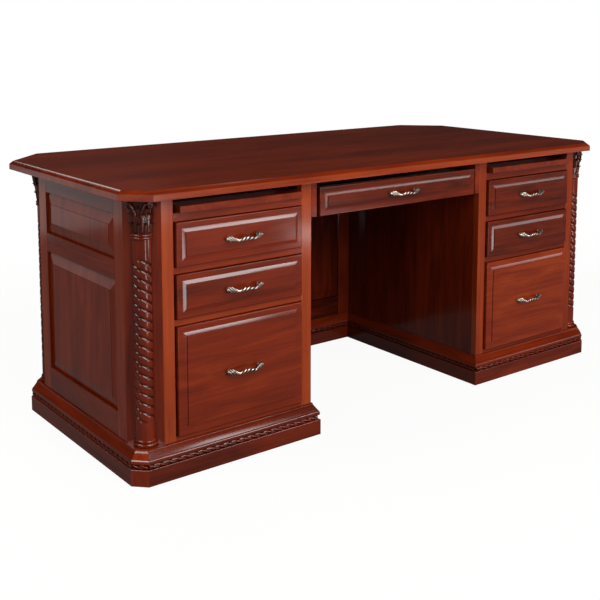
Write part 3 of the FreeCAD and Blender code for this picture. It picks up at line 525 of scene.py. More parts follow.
def inset_plan(plan, inset):
    """A plan's corners moved in by an inset; the plan runs counterclockwise."""
    corners = []
    for index, (x, y) in enumerate(plan):
        before, after = plan[index - 1], plan[(index + 1) % len(plan)]
        arrive = Vector((x - before[0], y - before[1])).normalized()
        leave = Vector((after[0] - x, after[1] - y)).normalized()
        left_in, left_out = Vector((-arrive.y, arrive.x)), Vector((-leave.y, leave.x))
        mitre = (left_in + left_out).normalized()
        corners.append(Vector((x, y)) + mitre * (inset / mitre.dot(left_out)))
    return corners


def smooth_step(value):
    """0 below 0, 1 above 1, and an easy curve between."""
    value = min(1, max(0, value))
    return value * value * (3 - 2 * value)


def quarter(start, end, bulge_first, steps):
    """Points of a quarter round from start to end; it leaves start along its first or second axis."""
    points = []
    for step in range(steps + 1):
        angle = math.pi / 2 * step / steps
        ahead, aside = math.sin(angle), 1 - math.cos(angle)
        first, second = (ahead, aside) if bulge_first else (aside, ahead)
        points.append((start[0] + (end[0] - start[0]) * first, start[1] + (end[1] - start[1]) * second))
    return points


def curve_through(start, middle, end, steps):
    """Points of a smooth bow from start through middle to end."""
    points = []
    for step in range(steps + 1):
        share = step / steps
        weights = ((1 - share) * (1 - 2 * share), 4 * share * (1 - share), share * (2 * share - 1))
        points.append(tuple(
            weights[0] * a + weights[1] * b + weights[2] * c for a, b, c in zip(start, middle, end)))
    return points


def smooth_through(points, steps):
    """Points of a smooth line through the given ones."""
    line = []
    for index in range(len(points) - 1):
        start, end = points[index], points[index + 1]
        before, after = points[max(index - 1, 0)], points[min(index + 2, len(points) - 1)]
        for step in range(steps):
            t = step / steps
            line.append(tuple(
                b + t * ((c - a) / 2 + t * (a - 2.5 * b + 2 * c - d / 2 + t * (1.5 * (b - c) + (d - a) / 2)))
                for a, b, c, d in zip(before, start, end, after)))
    return line + [points[-1]]


def strand_depth(share, sharpness):
    """How deep a place lies between two strands: 0 on a crest, 1 in the groove."""
    return abs(2 * (share % 1) - 1) ** sharpness


# A narrow strip beside each edge keeps the shading of its two faces apart.
SUPPORT = 0.4 * MM


# Top

# Painted shade: the top is set darker than the other level boards.
TOP_PAINTED_SHADE = -0.12
# Painted light: the upright band of the top's edge, and the underside below it, are set lighter than the top's
# face.
EDGE_BAND_PAINTED_LIGHT = 0.3
EDGE_STEPS = 6
FOOT_STEPS = 3


def clipped_plan(low, high, front_clip, back_clip):
    """A rectangle with clipped corners, counterclockwise."""
    return [
        (low.x + front_clip, low.y), (high.x - front_clip, low.y), (high.x, low.y + front_clip),
        (high.x, high.y - back_clip), (high.x - back_clip, high.y), (low.x + back_clip, high.y),
        (low.x, high.y - back_clip), (low.x, low.y + front_clip),
    ]


def desk_top():
    """The slab with its swelled, sloped edge."""
    edges, arris = bpy.context.scene.desk_edges, bpy.context.scene.desk_wood.arris
    low, high = (Vector(corner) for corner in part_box("desk_top"))
    plan = clipped_plan(low, high, edges.top_front_clip, edges.top_back_clip)
    shoulder = high.z - edges.top_edge_rise
    profile = [(2 * arris, low.z)] + quarter((arris, low.z), (0, low.z + arris), True, FOOT_STEPS)
    profile += [(0, low.z + arris + SUPPORT), (0, shoulder - SUPPORT), (0, shoulder)]
    for step in range(1, EDGE_STEPS + 1):
        share = step / EDGE_STEPS
        swell = edges.top_edge_swell * math.sin(math.pi * share)
        profile.append((edges.top_edge_run * share - swell, shoulder + edges.top_edge_rise * share))
    profile.append((edges.top_edge_run + SUPPORT, high.z))
    loops = [[(x, y, z) for x, y in inset_plan(plan, inset)] for inset, z in profile]
    piece = add_piece("glued_top", "desk_top", *stacked(loops), "cherry_top", smooth_below=24)
    lay_grain(piece, along=0, tone=TOP_PAINTED_SHADE)
    # Painted light on the edge band and underside.
    tones = piece.data.attributes["tone"].data
    for vertex in piece.data.vertices:
        if vertex.co.z < shoulder + SUPPORT:
            tones[vertex.index].value += EDGE_BAND_PAINTED_LIGHT


# Frames, panels and plain boards

WALL_NODES = [
    "left_face_frame", "right_face_frame", "left_end_frame", "right_end_frame", "left_back_frame",
    "right_back_frame", "modesty_frame", "left_inner_side", "right_inner_side", "corner_posts",
    "lap_drawer_hangers", "base_plinth", "base_decks", "left_writing_board", "right_writing_board",
]
# Boards that differ from the others: lighter on the left front; darker in the kneehole and on the canted corners,
# which is painted shade.
WALL_TONES_AND_SHADES = {
    "left_face_frame": 0.22, "right_face_frame": -0.02, "left_writing_board": 0.06,
    "right_writing_board": 0.0, "corner_posts": -0.34, "base_plinth": -0.12,
    "left_inner_side": -0.46, "right_inner_side": -0.46, "modesty_frame": -0.3,
}
PANEL_NODES = ["left_end_panels", "right_end_panels", "left_back_panels", "right_back_panels", "modesty_panels"]
PANEL_TONE = -0.24
# Painted shade: the modesty panels in the kneehole are set darker.
PANEL_PAINTED_SHADES = {"modesty_panels": -0.46}
# How much painted shade lies in the groove of the frame and at the foot of the fillet.
GROOVE_PAINTED_SHADE = 0.9
FILLET_PAINTED_SHADE = 0.7
HIDDEN_NODES = ["slide_blocks", "writing_board_guides", "top_stretchers"]
STEEL_NODES = ["slide_channels", "top_screws"]
DRAWERS = [name for name in RECORD["behaviour"]["bodies"] if f"{name}_front" in BODY_OF]


def carcass():
    """Frames, sides, posts, plinth and writing boards, arrises rounded."""
    arris = bpy.context.scene.desk_wood.arris
    for node in WALL_NODES:
        eased_boards("eased_" + node, node, "cherry", arris, tone=WALL_TONES_AND_SHADES.get(node, 0.0))


def raised_panel(faces):
    """Skin and painted shade of one panel: tongue, bevel, fillet and field on both sides."""
    edges = bpy.context.scene.desk_edges
    places = np.array([corner for face in faces for corner in face])
    low, high = places.min(axis=0), places.max(axis=0)
    normal = int((high - low).argmin())
    first, second = (normal + 1) % 3, (normal + 2) % 3
    levels = np.unique(places[:, normal].round(6))
    opening, field = np.unique((places[:, first] - low[first]).round(6))[1:3]
    line, fillet = edges.shade_line, edges.panel_fillet
    slope = (field - opening - line) / (field - opening)
    profile = []
    for outer, inner, out in ((levels[0], levels[1], 1), (levels[-1], levels[-2], -1)):
        crest = outer + out * fillet
        # The frame's groove and the fillet's foot get painted shade.
        side = [
            (field + SUPPORT, outer, 0), (field, outer, 0), (field - SUPPORT, crest, FILLET_PAINTED_SHADE),
            (field - line / 2, crest + (inner - crest) * line / 2 / (field - opening), 0),
            (opening + line, crest + (inner - crest) * slope, 0), (opening, inner, GROOVE_PAINTED_SHADE),
            (0, inner, GROOVE_PAINTED_SHADE),
        ]
        profile += side if out > 0 else side[::-1]
    loops, depths = [], []
    for inset, level, depth in profile:
        loop = []
        for right, up in ((False, False), (True, False), (True, True), (False, True)):
            point = [0.0, 0.0, 0.0]
            point[normal] = level
            point[first] = high[first] - inset if right else low[first] + inset
            point[second] = high[second] - inset if up else low[second] + inset
            loop.append(tuple(point))
        loops.append(loop)
        depths += [depth] * len(loop)
    return stacked(loops), depths


def panels():
    """Raised panels, their grain upright, with painted shade in their inner corners."""
    for node in PANEL_NODES:
        parts, depths = zip(*(raised_panel(faces) for faces in solids_of(node)))
        piece = add_piece("raised_" + node, node, *merge(parts), "cherry", smooth_below=6)
        lay_grain(piece, along=2, tone=PANEL_PAINTED_SHADES.get(node, PANEL_TONE))
        mark_hollows(piece, np.concatenate(depths))


def hidden_woodwork():
    """Poplar strips behind the fronts, and the maple drawer boxes."""
    arris = bpy.context.scene.desk_wood.arris
    for node in HIDDEN_NODES:
        eased_boards("planed_" + node, node, "poplar", arris)
    for drawer in DRAWERS:
        eased_boards(drawer + "_maple_box", drawer + "_box", "maple", arris)


# Drawer fronts

# The fronts are set apart in tone: the file fronts lighter, the lap and right-hand box fronts darker.
FRONT_TONE = -0.02
FRONT_TONES = {
    "left_file_drawer": 0.10, "right_file_drawer": 0.12, "lap_drawer": -0.18, "right_top_drawer": -0.22,
    "right_second_drawer": -0.14,
}
# How far the slope up to the field bellies out.
SLOPE_SWELL = 0.03 * MM
SLOPE_STEPS = 8
ROUND_STEPS = 10
# Painted shade at the foot of the fillet round a drawer front's field.
FIELD_PAINTED_SHADE = 0.8


def drawer_front(drawer):
    """A front with a rounded edge, a flat border, a slope and a small fillet up to its field."""
    edges = bpy.context.scene.desk_edges
    node = drawer + "_front"
    low, high = (Vector(corner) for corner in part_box(node))
    face = low.y + edges.field_rise
    border, run = edges.front_border, edges.field_run
    edge = edges.front_round
    profile = [(0, high.y), (0, face + edge + SUPPORT)]
    profile += quarter((0, face + edge), (edge, face), False, ROUND_STEPS)
    profile += [(edge + SUPPORT, face), (border - SUPPORT, face), (border, face)]
    crest = low.y + edges.field_fillet
    swell = (border + run / 2, (face + crest) / 2 - SLOPE_SWELL)
    profile += curve_through((border + SUPPORT, face), swell, (border + run, crest), SLOPE_STEPS)
    foot_of_fillet = len(profile) - 1
    profile += [(border + run + SUPPORT / 2, low.y), (border + run + SUPPORT, low.y)]
    loops, depths = [], []
    for index, (inset, y) in enumerate(profile):
        left, right, foot, head = low.x + inset, high.x - inset, low.z + inset, high.z - inset
        loops.append([(left, y, foot), (right, y, foot), (right, y, head), (left, y, head)])
        # Painted shade at the foot of the fillet.
        depths += [FIELD_PAINTED_SHADE if index == foot_of_fillet else 0] * len(loops[-1])
    piece = add_piece(drawer + "_raised_front", node, *stacked(loops), "cherry", smooth_below=9.5)
    lay_grain(piece, along=0, tone=FRONT_TONES.get(drawer, FRONT_TONE))
    mark_hollows(piece, depths)


# Base moulding and rope


def base_plan():
    """Outer plan of the base, counterclockwise, worked out from the pieces it carries."""
    low, high = (Vector(corner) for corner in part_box("base_plinth"))
    proud = high.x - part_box("right_end_frame")[1][0]
    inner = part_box("right_inner_side")[0][0] - proud
    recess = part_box("modesty_frame")[0][1] - proud
    clip = bpy.context.scene.desk_edges.base_clip
    return [
        (-inner, low.y), (-inner, recess), (inner, recess), (inner, low.y),
        (high.x - clip, low.y), (high.x, low.y + clip), (high.x, high.y - clip), (high.x - clip, high.y),
        (low.x + clip, high.y), (low.x, high.y - clip), (low.x, low.y + clip), (low.x + clip, low.y),
    ]


MOULDING_TONE = -0.06
MOULDING_STEPS = 4
# Outline of the moulding from foot to head as shares: out from its land, up from the rope.
MOULDING_SHARES = (
    (0.90, 0.00), (0.98, 0.06), (1.00, 0.14), (0.99, 0.22), (0.95, 0.29), (0.87, 0.36), (0.68, 0.47),
    (0.46, 0.60), (0.24, 0.74), (0.06, 0.87), (0.00, 0.92), (0.00, 1.00),
)


def base_moulding():
    """Rounded nose under a cove, mitred at every corner."""
    edges = bpy.context.scene.desk_edges
    low, high = (Vector(corner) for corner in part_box("base_moulding"))
    rope_low, rope_high = (Vector(corner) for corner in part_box("rope_trim"))
    plinth = Vector(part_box("base_plinth")[1])
    lip = plinth.x - high.x
    back = plinth.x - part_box("base_decks")[1][0]
    land = back - edges.moulding_land
    groove = edges.rope_inset + rope_high.z - rope_low.z
    rise = high.z - rope_high.z
    profile = [(back, high.z), (back, low.z), (groove, low.z), (groove, rope_high.z)]
    profile += smooth_through([
        (land + (lip - land) * out, rope_high.z + rise * up) for out, up in MOULDING_SHARES], MOULDING_STEPS)
    plan = base_plan()
    rings = [[tuple(corner) for corner in inset_plan(plan, inset)] for inset, _ in profile]
    corners = [
        [(*ring[index], level) for ring, (_, level) in zip(rings, profile)] for index in range(len(plan))
    ]
    runs = [stacked([corners[index], corners[(index + 1) % len(plan)]]) for index in range(len(plan))]
    piece = add_piece("coved_moulding", "base_moulding", *merge(runs), "cherry", smooth_below=32)
    lay_grain(piece, tone=MOULDING_TONE)


ROPE_TONE = -0.1
# Dark glaze and painted shade between the strands, as a share of a groove's depth.
ROPE_GLAZE_AND_SHADE = 1.2
ROPE_SIDES = 20
ROPE_STEP = 2.5 * MM
ROPE_STRANDS = 3
# Grooves between the strands: how narrow they are, and their depth as a share of the radius.
ROPE_SHARPNESS = 2.2
ROPE_GROOVE = 0.55
# Radii over which a length of rope leans into its mitre.
ROPE_MITRE = 4


def rope_bead():
    """Three-strand rope laid in the groove round the base."""
    edges = bpy.context.scene.desk_edges
    low, high = (Vector(corner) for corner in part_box("rope_trim"))
    radius = (high.z - low.z) / 2
    middle = (low.z + high.z) / 2
    path = inset_plan(base_plan(), edges.rope_inset + radius)
    parts, depths = [], []
    for index, start in enumerate(path):
        end = path[(index + 1) % len(path)]
        before, after = path[index - 1], path[(index + 2) % len(path)]
        along = (end - start).normalized()
        left = Vector((-along.y, along.x))
        leans = [
            math.tan((start - before).angle_signed(along) / 2),
            math.tan(-along.angle_signed(after - end) / 2),
        ]
        span = (end - start).length
        steps = max(4, round(span / ROPE_STEP))
        loops = []
        for step in range(steps + 1):
            place = span * step / steps
            fade = [max(0, 1 - way / (ROPE_MITRE * radius)) for way in (place, span - place)]
            loop = []
            for side in range(ROPE_SIDES):
                angle = 2 * math.pi * side / ROPE_SIDES
                depth = strand_depth(
                    ROPE_STRANDS * (angle / (2 * math.pi) + place / edges.rope_lead), ROPE_SHARPNESS)
                reach = radius * (1 - ROPE_GROOVE * depth)
                out, up = reach * math.cos(angle), reach * math.sin(angle)
                slide = place - out * (leans[0] * fade[0] + leans[1] * fade[1])
                spot = start + along * slide - left * out
                loop.append((spot.x, spot.y, middle + up))
                depths.append(depth)
            loops.append(loop)
        parts.append(stacked(loops))
    piece = add_piece("rope_bead", "rope_trim", *merge(parts), "cherry", smooth_below=70)
    lay_grain(piece, tone=ROPE_TONE)
    mark_hollows(piece, ROPE_GLAZE_AND_SHADE * np.array(depths))


# Columns and capitals

CARVING_TONE = -0.42


def corner_seats():
    """Matrices that carry +Y out of the middle of each canted corner face."""
    low, high = (Vector(corner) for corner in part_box("corner_posts"))
    leg = high.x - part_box("right_face_frame")[1][0]
    seats = []
    for face, y in ((-1, low.y + leg / 2), (1, high.y - leg / 2)):
        for side in (-1, 1):
            turn = Matrix.Rotation(math.atan2(face, side) - math.pi / 2, 4, "Z")
            seats.append(Matrix.Translation((side * (high.x - leg / 2), y, 0)) @ turn)
    return seats


def half_round(rows):
    """Half a turned piece from rows of (height, radii round it), closed by a flat back."""
    angles = np.linspace(0, math.pi, len(rows[0][1]))
    return stacked([
        [(radius * math.cos(angle), radius * math.sin(angle), height) for angle, radius in zip(angles, radii)]
        for height, radii in rows
    ])


# Rings as (height above the end they sit at, radius at their crest, half height), in millimetres.
FOOT_RINGS = ((5.2, 31.8, 5.2), (14.7, 28.8, 3.7))
NECK_RINGS = ((3.6, 29.2, 3.6), (10.6, 29.2, 3.4))
NECK_BAND = 14 * MM
# Lengths at foot and neck that are drawn finely for their rings.
FOOT_TURNING = 21 * MM
NECK_TURNING = 16 * MM
RING_STEP = 0.6 * MM
SHAFT_STEP = 20 * MM
TWIST_STEP = 1.2 * MM
COLUMN_SIDES = 57
# Grooves of the twist: how narrow they are, the height over which they run out, and the dark glaze and
# painted shade in them.
TWIST_SHARPNESS = 5
TWIST_END = 5 * MM
TWIST_GLAZE_AND_SHADE = 0.85


def ring_radius(level, rings, plain):
    """Radius of a turned shaft at a level, where its rings swell out of it."""
    radius = plain
    for centre, crest, half in rings:
        offset = (level - centre * MM) / (half * MM)
        if abs(offset) < 1:
            radius = max(radius, crest * MM - half * MM * (1 - math.sqrt(1 - offset * offset)))
    return radius


def levels_between(low, high, step):
    """Evenly spaced levels, both ends included."""
    count = max(1, round((high - low) / step))
    return [low + (high - low) * index / count for index in range(count + 1)]


def twisted_columns():
    """Half-round columns: ringed foot, plain shaft, left-hand rope twist, plain shaft, ringed neck."""
    carving = bpy.context.scene.desk_carving
    foot, head = (corner[2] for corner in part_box("twisted_columns"))
    plain, low, high = carving.shaft_radius, carving.twist_low, carving.twist_high
    foot_top, neck_low = foot + FOOT_TURNING, head - NECK_TURNING
    levels = [foot]
    for start, end, step in (
            (foot, foot_top, RING_STEP), (foot_top, low, SHAFT_STEP), (low, high, TWIST_STEP),
            (high, neck_low, SHAFT_STEP), (neck_low, head, RING_STEP)):
        levels += levels_between(start, end, step)[1:]
    loops, depths = [], []
    for level in levels:
        radius = ring_radius(level - foot, FOOT_RINGS, plain)
        radius = max(radius, ring_radius(level - head + NECK_BAND, NECK_RINGS, plain))
        sunk = min(1, max(0, (level - low) / TWIST_END), max(0, (high - level) / TWIST_END))
        phase = carving.strands * (level - low) / carving.twist_lead
        angles = [math.pi * index / (COLUMN_SIDES - 1) for index in range(COLUMN_SIDES)]
        for groove in range(math.ceil(phase), math.floor(phase + carving.strands / 2) + 1):
            angle = 2 * math.pi * (groove - phase) / carving.strands
            nearest = round(angle / math.pi * (COLUMN_SIDES - 1))
            if 0 < nearest < COLUMN_SIDES - 1:
                angles[nearest] = angle
        loop = []
        for angle in angles:
            turn = carving.strands * angle / (2 * math.pi)
            depth = sunk * strand_depth(turn + phase, TWIST_SHARPNESS)
            reach = radius - carving.twist_groove * depth
            loop.append((reach * math.cos(angle), reach * math.sin(angle), level))
            depths.append(depth)
        loops.append(loop)
    half = stacked(loops)
    parts = [([seat @ Vector(point) for point in half[0]], half[1]) for seat in corner_seats()]
    piece = add_piece("rope_twist_columns", "twisted_columns", *merge(parts), "cherry", smooth_below=50)
    lay_grain(piece, along=2, tone=CARVING_TONE)
    mark_hollows(piece, TWIST_GLAZE_AND_SHADE * np.array(depths * len(parts)))


# The bell as (share of its height, radius in millimetres).
BELL = ((0.0, 24.5), (0.35, 26.0), (0.6, 28.0), (0.8, 31.0), (0.92, 34.0), (1.0, 36.0))
BELL_ROWS = 24
BELL_SIDES = 40
# Dark glaze and painted shade on the bell behind the leaves.
BELL_GLAZE_AND_SHADE = 0.8
# Tiers of leaves: their places round the bell in degrees, then foot, height, half width and curl in millimetres.
LEAF_TIERS = (
    ((12, 51, 90, 129, 168), 0.5, 24, 9.5, 3.8),
    ((31, 70, 110, 149), 6, 43, 9.5, 4.2),
    ((50, 130), 32, 32, 8, 3.6),
    ((90,), 30, 36, 9, 4.2),
)
LEAF_ROWS = 18
LEAF_COLUMNS = 11
# A leaf climbs for this share of its length and then curls over by this angle.
LEAF_CLIMB = 0.72
LEAF_BEND = math.radians(125)
# How far it stands off the bell at its foot, and how much more where it starts to curl.
LEAF_LIFT = (1.2 * MM, 2.0 * MM)
LEAF_LOBES = 3.5
# Shares of the full width: at the foot, cut away between two lobes, and lost towards the tip, from where on.
LEAF_FOOT = 0.62
LEAF_NOTCH = 0.22
TIP_LOSS, TIP_FROM = 0.4, 0.8
LEAF_CUP = 1.4 * MM
LEAF_RIB = 0.9 * MM
# Thickness at the foot, what the tip has more, and how far the tip's back hangs down.
LEAF_THICK = 2.6 * MM
TIP_THICK = 1.6 * MM
TIP_DROP = 2.5 * MM
# Dark glaze and painted shade on a leaf's face, more of both between the ribs and in the notches, and how much
# less towards the tip.
LEAF_GLAZE_AND_SHADE, RIB_GLAZE_AND_SHADE, NOTCH_GLAZE_AND_SHADE, TIP_LESS_GLAZE_AND_SHADE = 0.3, 0.5, 0.3, 0.15


def bell_radius(share):
    """Radius of the capital's bell at a share of its height."""
    return float(np.interp(share, [place for place, _ in BELL], [radius for _, radius in BELL])) * MM


def leaf(middle, foot, height, width, curl, capital):
    """A carved leaf up the bell whose lobed tip curls out; returns its mesh and its glaze and painted shade."""
    low, rise = capital
    loops, depths = [], []
    for row in range(LEAF_ROWS + 1):
        share = row / LEAF_ROWS
        grown = min(share / LEAF_CLIMB, 1)
        curled = max(0, share - LEAF_CLIMB) / (1 - LEAF_CLIMB)
        bend = curled * LEAF_BEND
        level = low + foot + grown * height + curl * math.sin(bend)
        lift = LEAF_LIFT[0] + LEAF_LIFT[1] * grown + curl * (1 - math.cos(bend))
        reach = bell_radius((foot + grown * height) / rise) + lift
        notch = 0.5 - 0.5 * math.cos(2 * math.pi * share * LEAF_LOBES)
        belly = math.sin(math.pi * min(1, share * 1.15))
        spread = width * (LEAF_FOOT + (1 - LEAF_FOOT) * belly) * (1 - LEAF_NOTCH * notch)
        spread *= 1 - TIP_LOSS * smooth_step((share - TIP_FROM) / (1 - TIP_FROM))
        tip = smooth_step(curled)
        thick, drop = LEAF_THICK + TIP_THICK * tip, TIP_DROP * tip
        front, back = [], []
        for column in range(LEAF_COLUMNS):
            across = 2 * column / (LEAF_COLUMNS - 1) - 1
            ribs = 0.5 - 0.5 * math.cos(across * math.pi * 2)
            outer = reach + (1 - across * across) * LEAF_CUP - ribs * LEAF_RIB
            inner = outer - thick
            angle = middle + across * spread / reach
            front.append((outer * math.cos(angle), outer * math.sin(angle), level))
            back.append((inner * math.cos(angle), inner * math.sin(angle), level - drop))
            depths.append(LEAF_GLAZE_AND_SHADE + RIB_GLAZE_AND_SHADE * ribs - TIP_LESS_GLAZE_AND_SHADE * share + NOTCH_GLAZE_AND_SHADE * notch * abs(across))
        loops.append(front + back[::-1])
        # The leaf's back, in the shade beneath it, is painted darkest.
        depths += [1.0] * LEAF_COLUMNS
    return stacked(loops), depths


def tube(path, radii, sides):
    """A round bar along a path."""
    loops = []
    for index, point in enumerate(path):
        ahead = path[min(index + 1, len(path) - 1)] - path[max(index - 1, 0)]
        tangent = ahead.normalized()
        first = tangent.cross(Vector((0, 0, 1)))
        first = first.normalized() if first.length > 1e-4 else Vector((1, 0, 0))
        second = tangent.cross(first)
        loops.append([
            tuple(point + (first * math.cos(angle) + second * math.sin(angle)) * radii[index])
            for angle in (2 * math.pi * side / sides for side in range(sides))
        ])
    return stacked(loops)


# A scroll's stem climbs for this share of its length, from its start to its eye, and winds up round the eye.
# Start and eye as (turn from the middle in radians, share of the capital's height).
SCROLL_CLIMB = 0.35
SCROLL_START = (0.25, 0.5)
SCROLL_EYE = (0.92, 0.84)
# How slowly the stem leaves the middle, the radius it winds at, the share lost by its end, and its turns.
SCROLL_EASE = 1.6
SCROLL_WIND = 8 * MM
WIND_LOSS = 0.82
WIND_TURNS = 1.6
# How far the stem and then the eye stand off the bell, what the eye's end has more, and radii at foot and end.
STEM_LIFT, EYE_LIFT, END_LIFT = 3 * MM, 4 * MM, 3 * MM
STEM_THICK, END_THICK = 3.8 * MM, 2.4 * MM
SCROLL_STEPS = 46
SCROLL_SIDES = 10
# Dark glaze and painted shade along the scroll.
SCROLL_GLAZE_AND_SHADE = 0.4


def scroll(hand, capital):
    """A stem that climbs from the middle of the bell and winds into a scroll at an upper corner."""
    low, rise = capital
    start_turn, start_level = SCROLL_START
    eye_turn, eye_level = SCROLL_EYE
    path, radii = [], []
    for step in range(SCROLL_STEPS + 1):
        share = step / SCROLL_STEPS
        if share < SCROLL_CLIMB:
            climb = share / SCROLL_CLIMB
            turn = start_turn + (eye_turn - start_turn) * climb ** SCROLL_EASE
            level = start_level + (eye_level + SCROLL_WIND / rise - start_level) * math.sin(climb * math.pi / 2)
            reach = bell_radius(level) + STEM_LIFT
        else:
            spin = (share - SCROLL_CLIMB) / (1 - SCROLL_CLIMB)
            radius = SCROLL_WIND * (1 - WIND_LOSS * spin)
            phase = math.pi / 2 - spin * 2 * math.pi * WIND_TURNS
            level = eye_level + radius * math.sin(phase) / rise
            reach = bell_radius(eye_level) + EYE_LIFT + END_LIFT * spin
            turn = eye_turn + radius * math.cos(phase) / reach
        angle = math.pi / 2 + hand * turn
        path.append(Vector((reach * math.cos(angle), reach * math.sin(angle), low + level * rise)))
        radii.append(STEM_THICK + (END_THICK - STEM_THICK) * share)
    mesh = tube(path, radii, SCROLL_SIDES)
    return mesh, [SCROLL_GLAZE_AND_SHADE] * len(mesh[0])


def capital_parts():
    """Bell, tiers of leaves and scrolls of one capital, each with its glaze and painted shade."""
    low, high = (corner[2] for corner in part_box("column_capitals"))
    capital = (low, high - low)
    shares = [row / BELL_ROWS for row in range(BELL_ROWS + 1)]
    bell = half_round([(low + (high - low) * share, [bell_radius(share)] * (BELL_SIDES + 1)) for share in shares])
    parts = [(bell, [BELL_GLAZE_AND_SHADE] * len(bell[0]))]
    for angles, *sizes in LEAF_TIERS:
        for angle in angles:
            parts.append(leaf(math.radians(angle), *(size * MM for size in sizes), capital))
    return parts + [scroll(hand, capital) for hand in (-1, 1)]


def column_capitals():
    """Carved leaf capitals on the four columns."""
    parts, depths = [], []
    carved = capital_parts()
    for seat in corner_seats():
        for (vertices, faces), hollows in carved:
            parts.append(([seat @ Vector(point) for point in vertices], faces))
            depths += hollows
    piece = add_piece("leaf_capitals", "column_capitals", *merge(parts), "cherry", smooth_below=60)
    lay_grain(piece, along=2, tone=CARVING_TONE)
    mark_hollows(piece, depths)


# Pulls

# Stations of a pull as shares: place along its half length, then reach of its front, height, depth and dip of
# its axis.
PULL_SHARES = (
    (1.00, 0.44, 0.20, 0.20, 0.00), (0.94, 0.48, 0.70, 0.55, 0.00), (0.82, 0.60, 1.00, 0.85, 0.00),
    (0.70, 0.74, 0.88, 0.80, 0.05), (0.58, 0.87, 0.52, 0.70, 0.20), (0.45, 0.95, 0.36, 0.62, 0.33),
    (0.34, 0.97, 0.46, 0.70, 0.28), (0.20, 0.99, 0.64, 0.86, 0.16), (0.00, 1.00, 0.66, 0.92, 0.10),
)
PULL_STEPS = 120
PULL_SIDES = 28
# The middle's two strands: length of a turn, depth, and the shares of the half length where they run out.
BOW_PITCH = 26 * MM
BOW_SINK = 0.4
BOW_UNTIL, BOW_EASE = 0.36, 0.12
# Ribs of the leaf ends: spacing, lean, depth, and the shares of the half length where they start and stop.
RIB_PITCH = 7.5 * MM
RIB_LEAN = 0.9
RIB_SINK = 0.3
RIB_FROM, RIB_EASE, RIB_FADE = 0.5, 0.15, 0.08
# How far the ribs wrap round, where the back of the casting starts, and the patina left on it.
RIB_WRAP = 0.3
BACK_FROM = -0.2
BACK_PATINA = 0.8
# Turned posts and screws as (place along Y, radius) in millimetres, from the front's face and from a screw's end.
POST_STATIONS = ((0, 6.2), (-1.2, 6.2), (-2.4, 5.0), (-4, 4.2))
SCREW_STATIONS = ((-3, 2), (-3, 5), (-1, 5), (0, 3.4))
POST_SHARE = 0.5
POST_SIDES = 20
POST_PATINA = 0.35


def pull_casting():
    """Leaf ends, narrow necks and a two-strand twisted middle, standing out along -Y from its seat."""
    carving = bpy.context.scene.desk_carving
    places, *columns = zip(*reversed(PULL_SHARES))
    scales = (carving.pull_reach, carving.pull_height / 2, carving.pull_depth / 2, carving.pull_height)
    half = carving.pull_length / 2
    loops, depths = [], []
    for step in range(PULL_STEPS + 1):
        along = math.cos(math.pi * (1 - step / PULL_STEPS))
        share = abs(along)
        front, tall, deep, dip = (
            scale * float(np.interp(share, places, column)) for scale, column in zip(scales, columns))
        leafy = smooth_step((share - RIB_FROM) / RIB_EASE) * smooth_step((1 - share) / RIB_FADE)
        twisted = 1 - smooth_step((share - BOW_UNTIL) / BOW_EASE)
        loop = []
        for side in range(PULL_SIDES):
            angle = 2 * math.pi * side / PULL_SIDES
            out, up = math.cos(angle), math.sin(angle)
            wind = 0.5 + 0.5 * math.cos(2 * (angle - 2 * math.pi * along * half / BOW_PITCH))
            lean = (share * half - RIB_LEAN * up * tall) / RIB_PITCH
            rib = 0.5 + 0.5 * math.cos(2 * math.pi * lean)
            reach = 1 - BOW_SINK * twisted * (1 - wind) - RIB_SINK * leafy * (1 - rib) * max(0, out + RIB_WRAP)
            loop.append((along * half, deep - front - deep * out * reach, tall * up * reach - dip))
            hollow = twisted * (1 - wind) + leafy * (1 - rib)
            depths.append(hollow if out > BACK_FROM else BACK_PATINA)
        loops.append(loop)
    return stacked(loops), depths


def turned_post(x, profile):
    """A post or screw along Y at X from (place along Y, radius) stations."""
    angles = [2 * math.pi * side / POST_SIDES for side in range(POST_SIDES)]
    return stacked([
        [(x + radius * math.cos(angle), y, radius * math.sin(angle)) for angle in angles] for y, radius in profile
    ])


def drawer_pull(drawer, casting):
    """One cast pull with its posts and the screws that reach it through the front."""
    carving = bpy.context.scene.desk_carving
    node = drawer + "_pull"
    low, high = (Vector(corner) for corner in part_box(node))
    seat_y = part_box(drawer + "_front")[0][1]
    centre = Vector(((low.x + high.x) / 2, seat_y, (low.z + high.z) / 2))
    post = [(y * MM, radius * MM) for y, radius in POST_STATIONS]
    post.append((-POST_SHARE * carving.pull_reach, post[-1][1]))
    screw = [(high.y - seat_y + y * MM, radius * MM) for y, radius in SCREW_STATIONS]
    screw.insert(0, (0, screw[0][1]))
    bow, hollows = casting
    parts = [bow]
    for side in (-1, 1):
        x = side * carving.pull_centres / 2
        parts += [turned_post(x, post), turned_post(x, screw)]
    vertices, faces = merge(parts)
    depths = hollows + [POST_PATINA] * (len(vertices) - len(hollows))
    placed = [tuple(centre + Vector(point)) for point in vertices]
    piece = add_piece(drawer + "_leaf_pull", node, placed, faces, "cast_brass", smooth_below=55)
    mark_hollows(piece, depths)


def dress_steel():
    """Zinc plate on the slides and screws, which keep their CAD shapes."""
    nodes = STEEL_NODES + [node for node in BODY_OF if node.endswith("_slides")]
    for node in nodes:
        mesh = frame["nodes"][node].data
        mesh.materials.clear()
        mesh.materials.append(finish_of("zinc_steel"))


# Stage

FLOOR_REACH = 30
# The floor's glow to the camera near the desk; it rises to white between these distances, in metres.
FLOOR_GLOW = 0.93
SWEEP_SEEN = (1.6, 4.0)
# The lacquer mirrors the floor dim near the desk and paler between these distances, up to the horizon's strength.
FLOOR_MIRRORED = 0.08
SWEEP_MIRRORED = (5.0, 9.0)
HORIZON_MIRRORED = 0.5
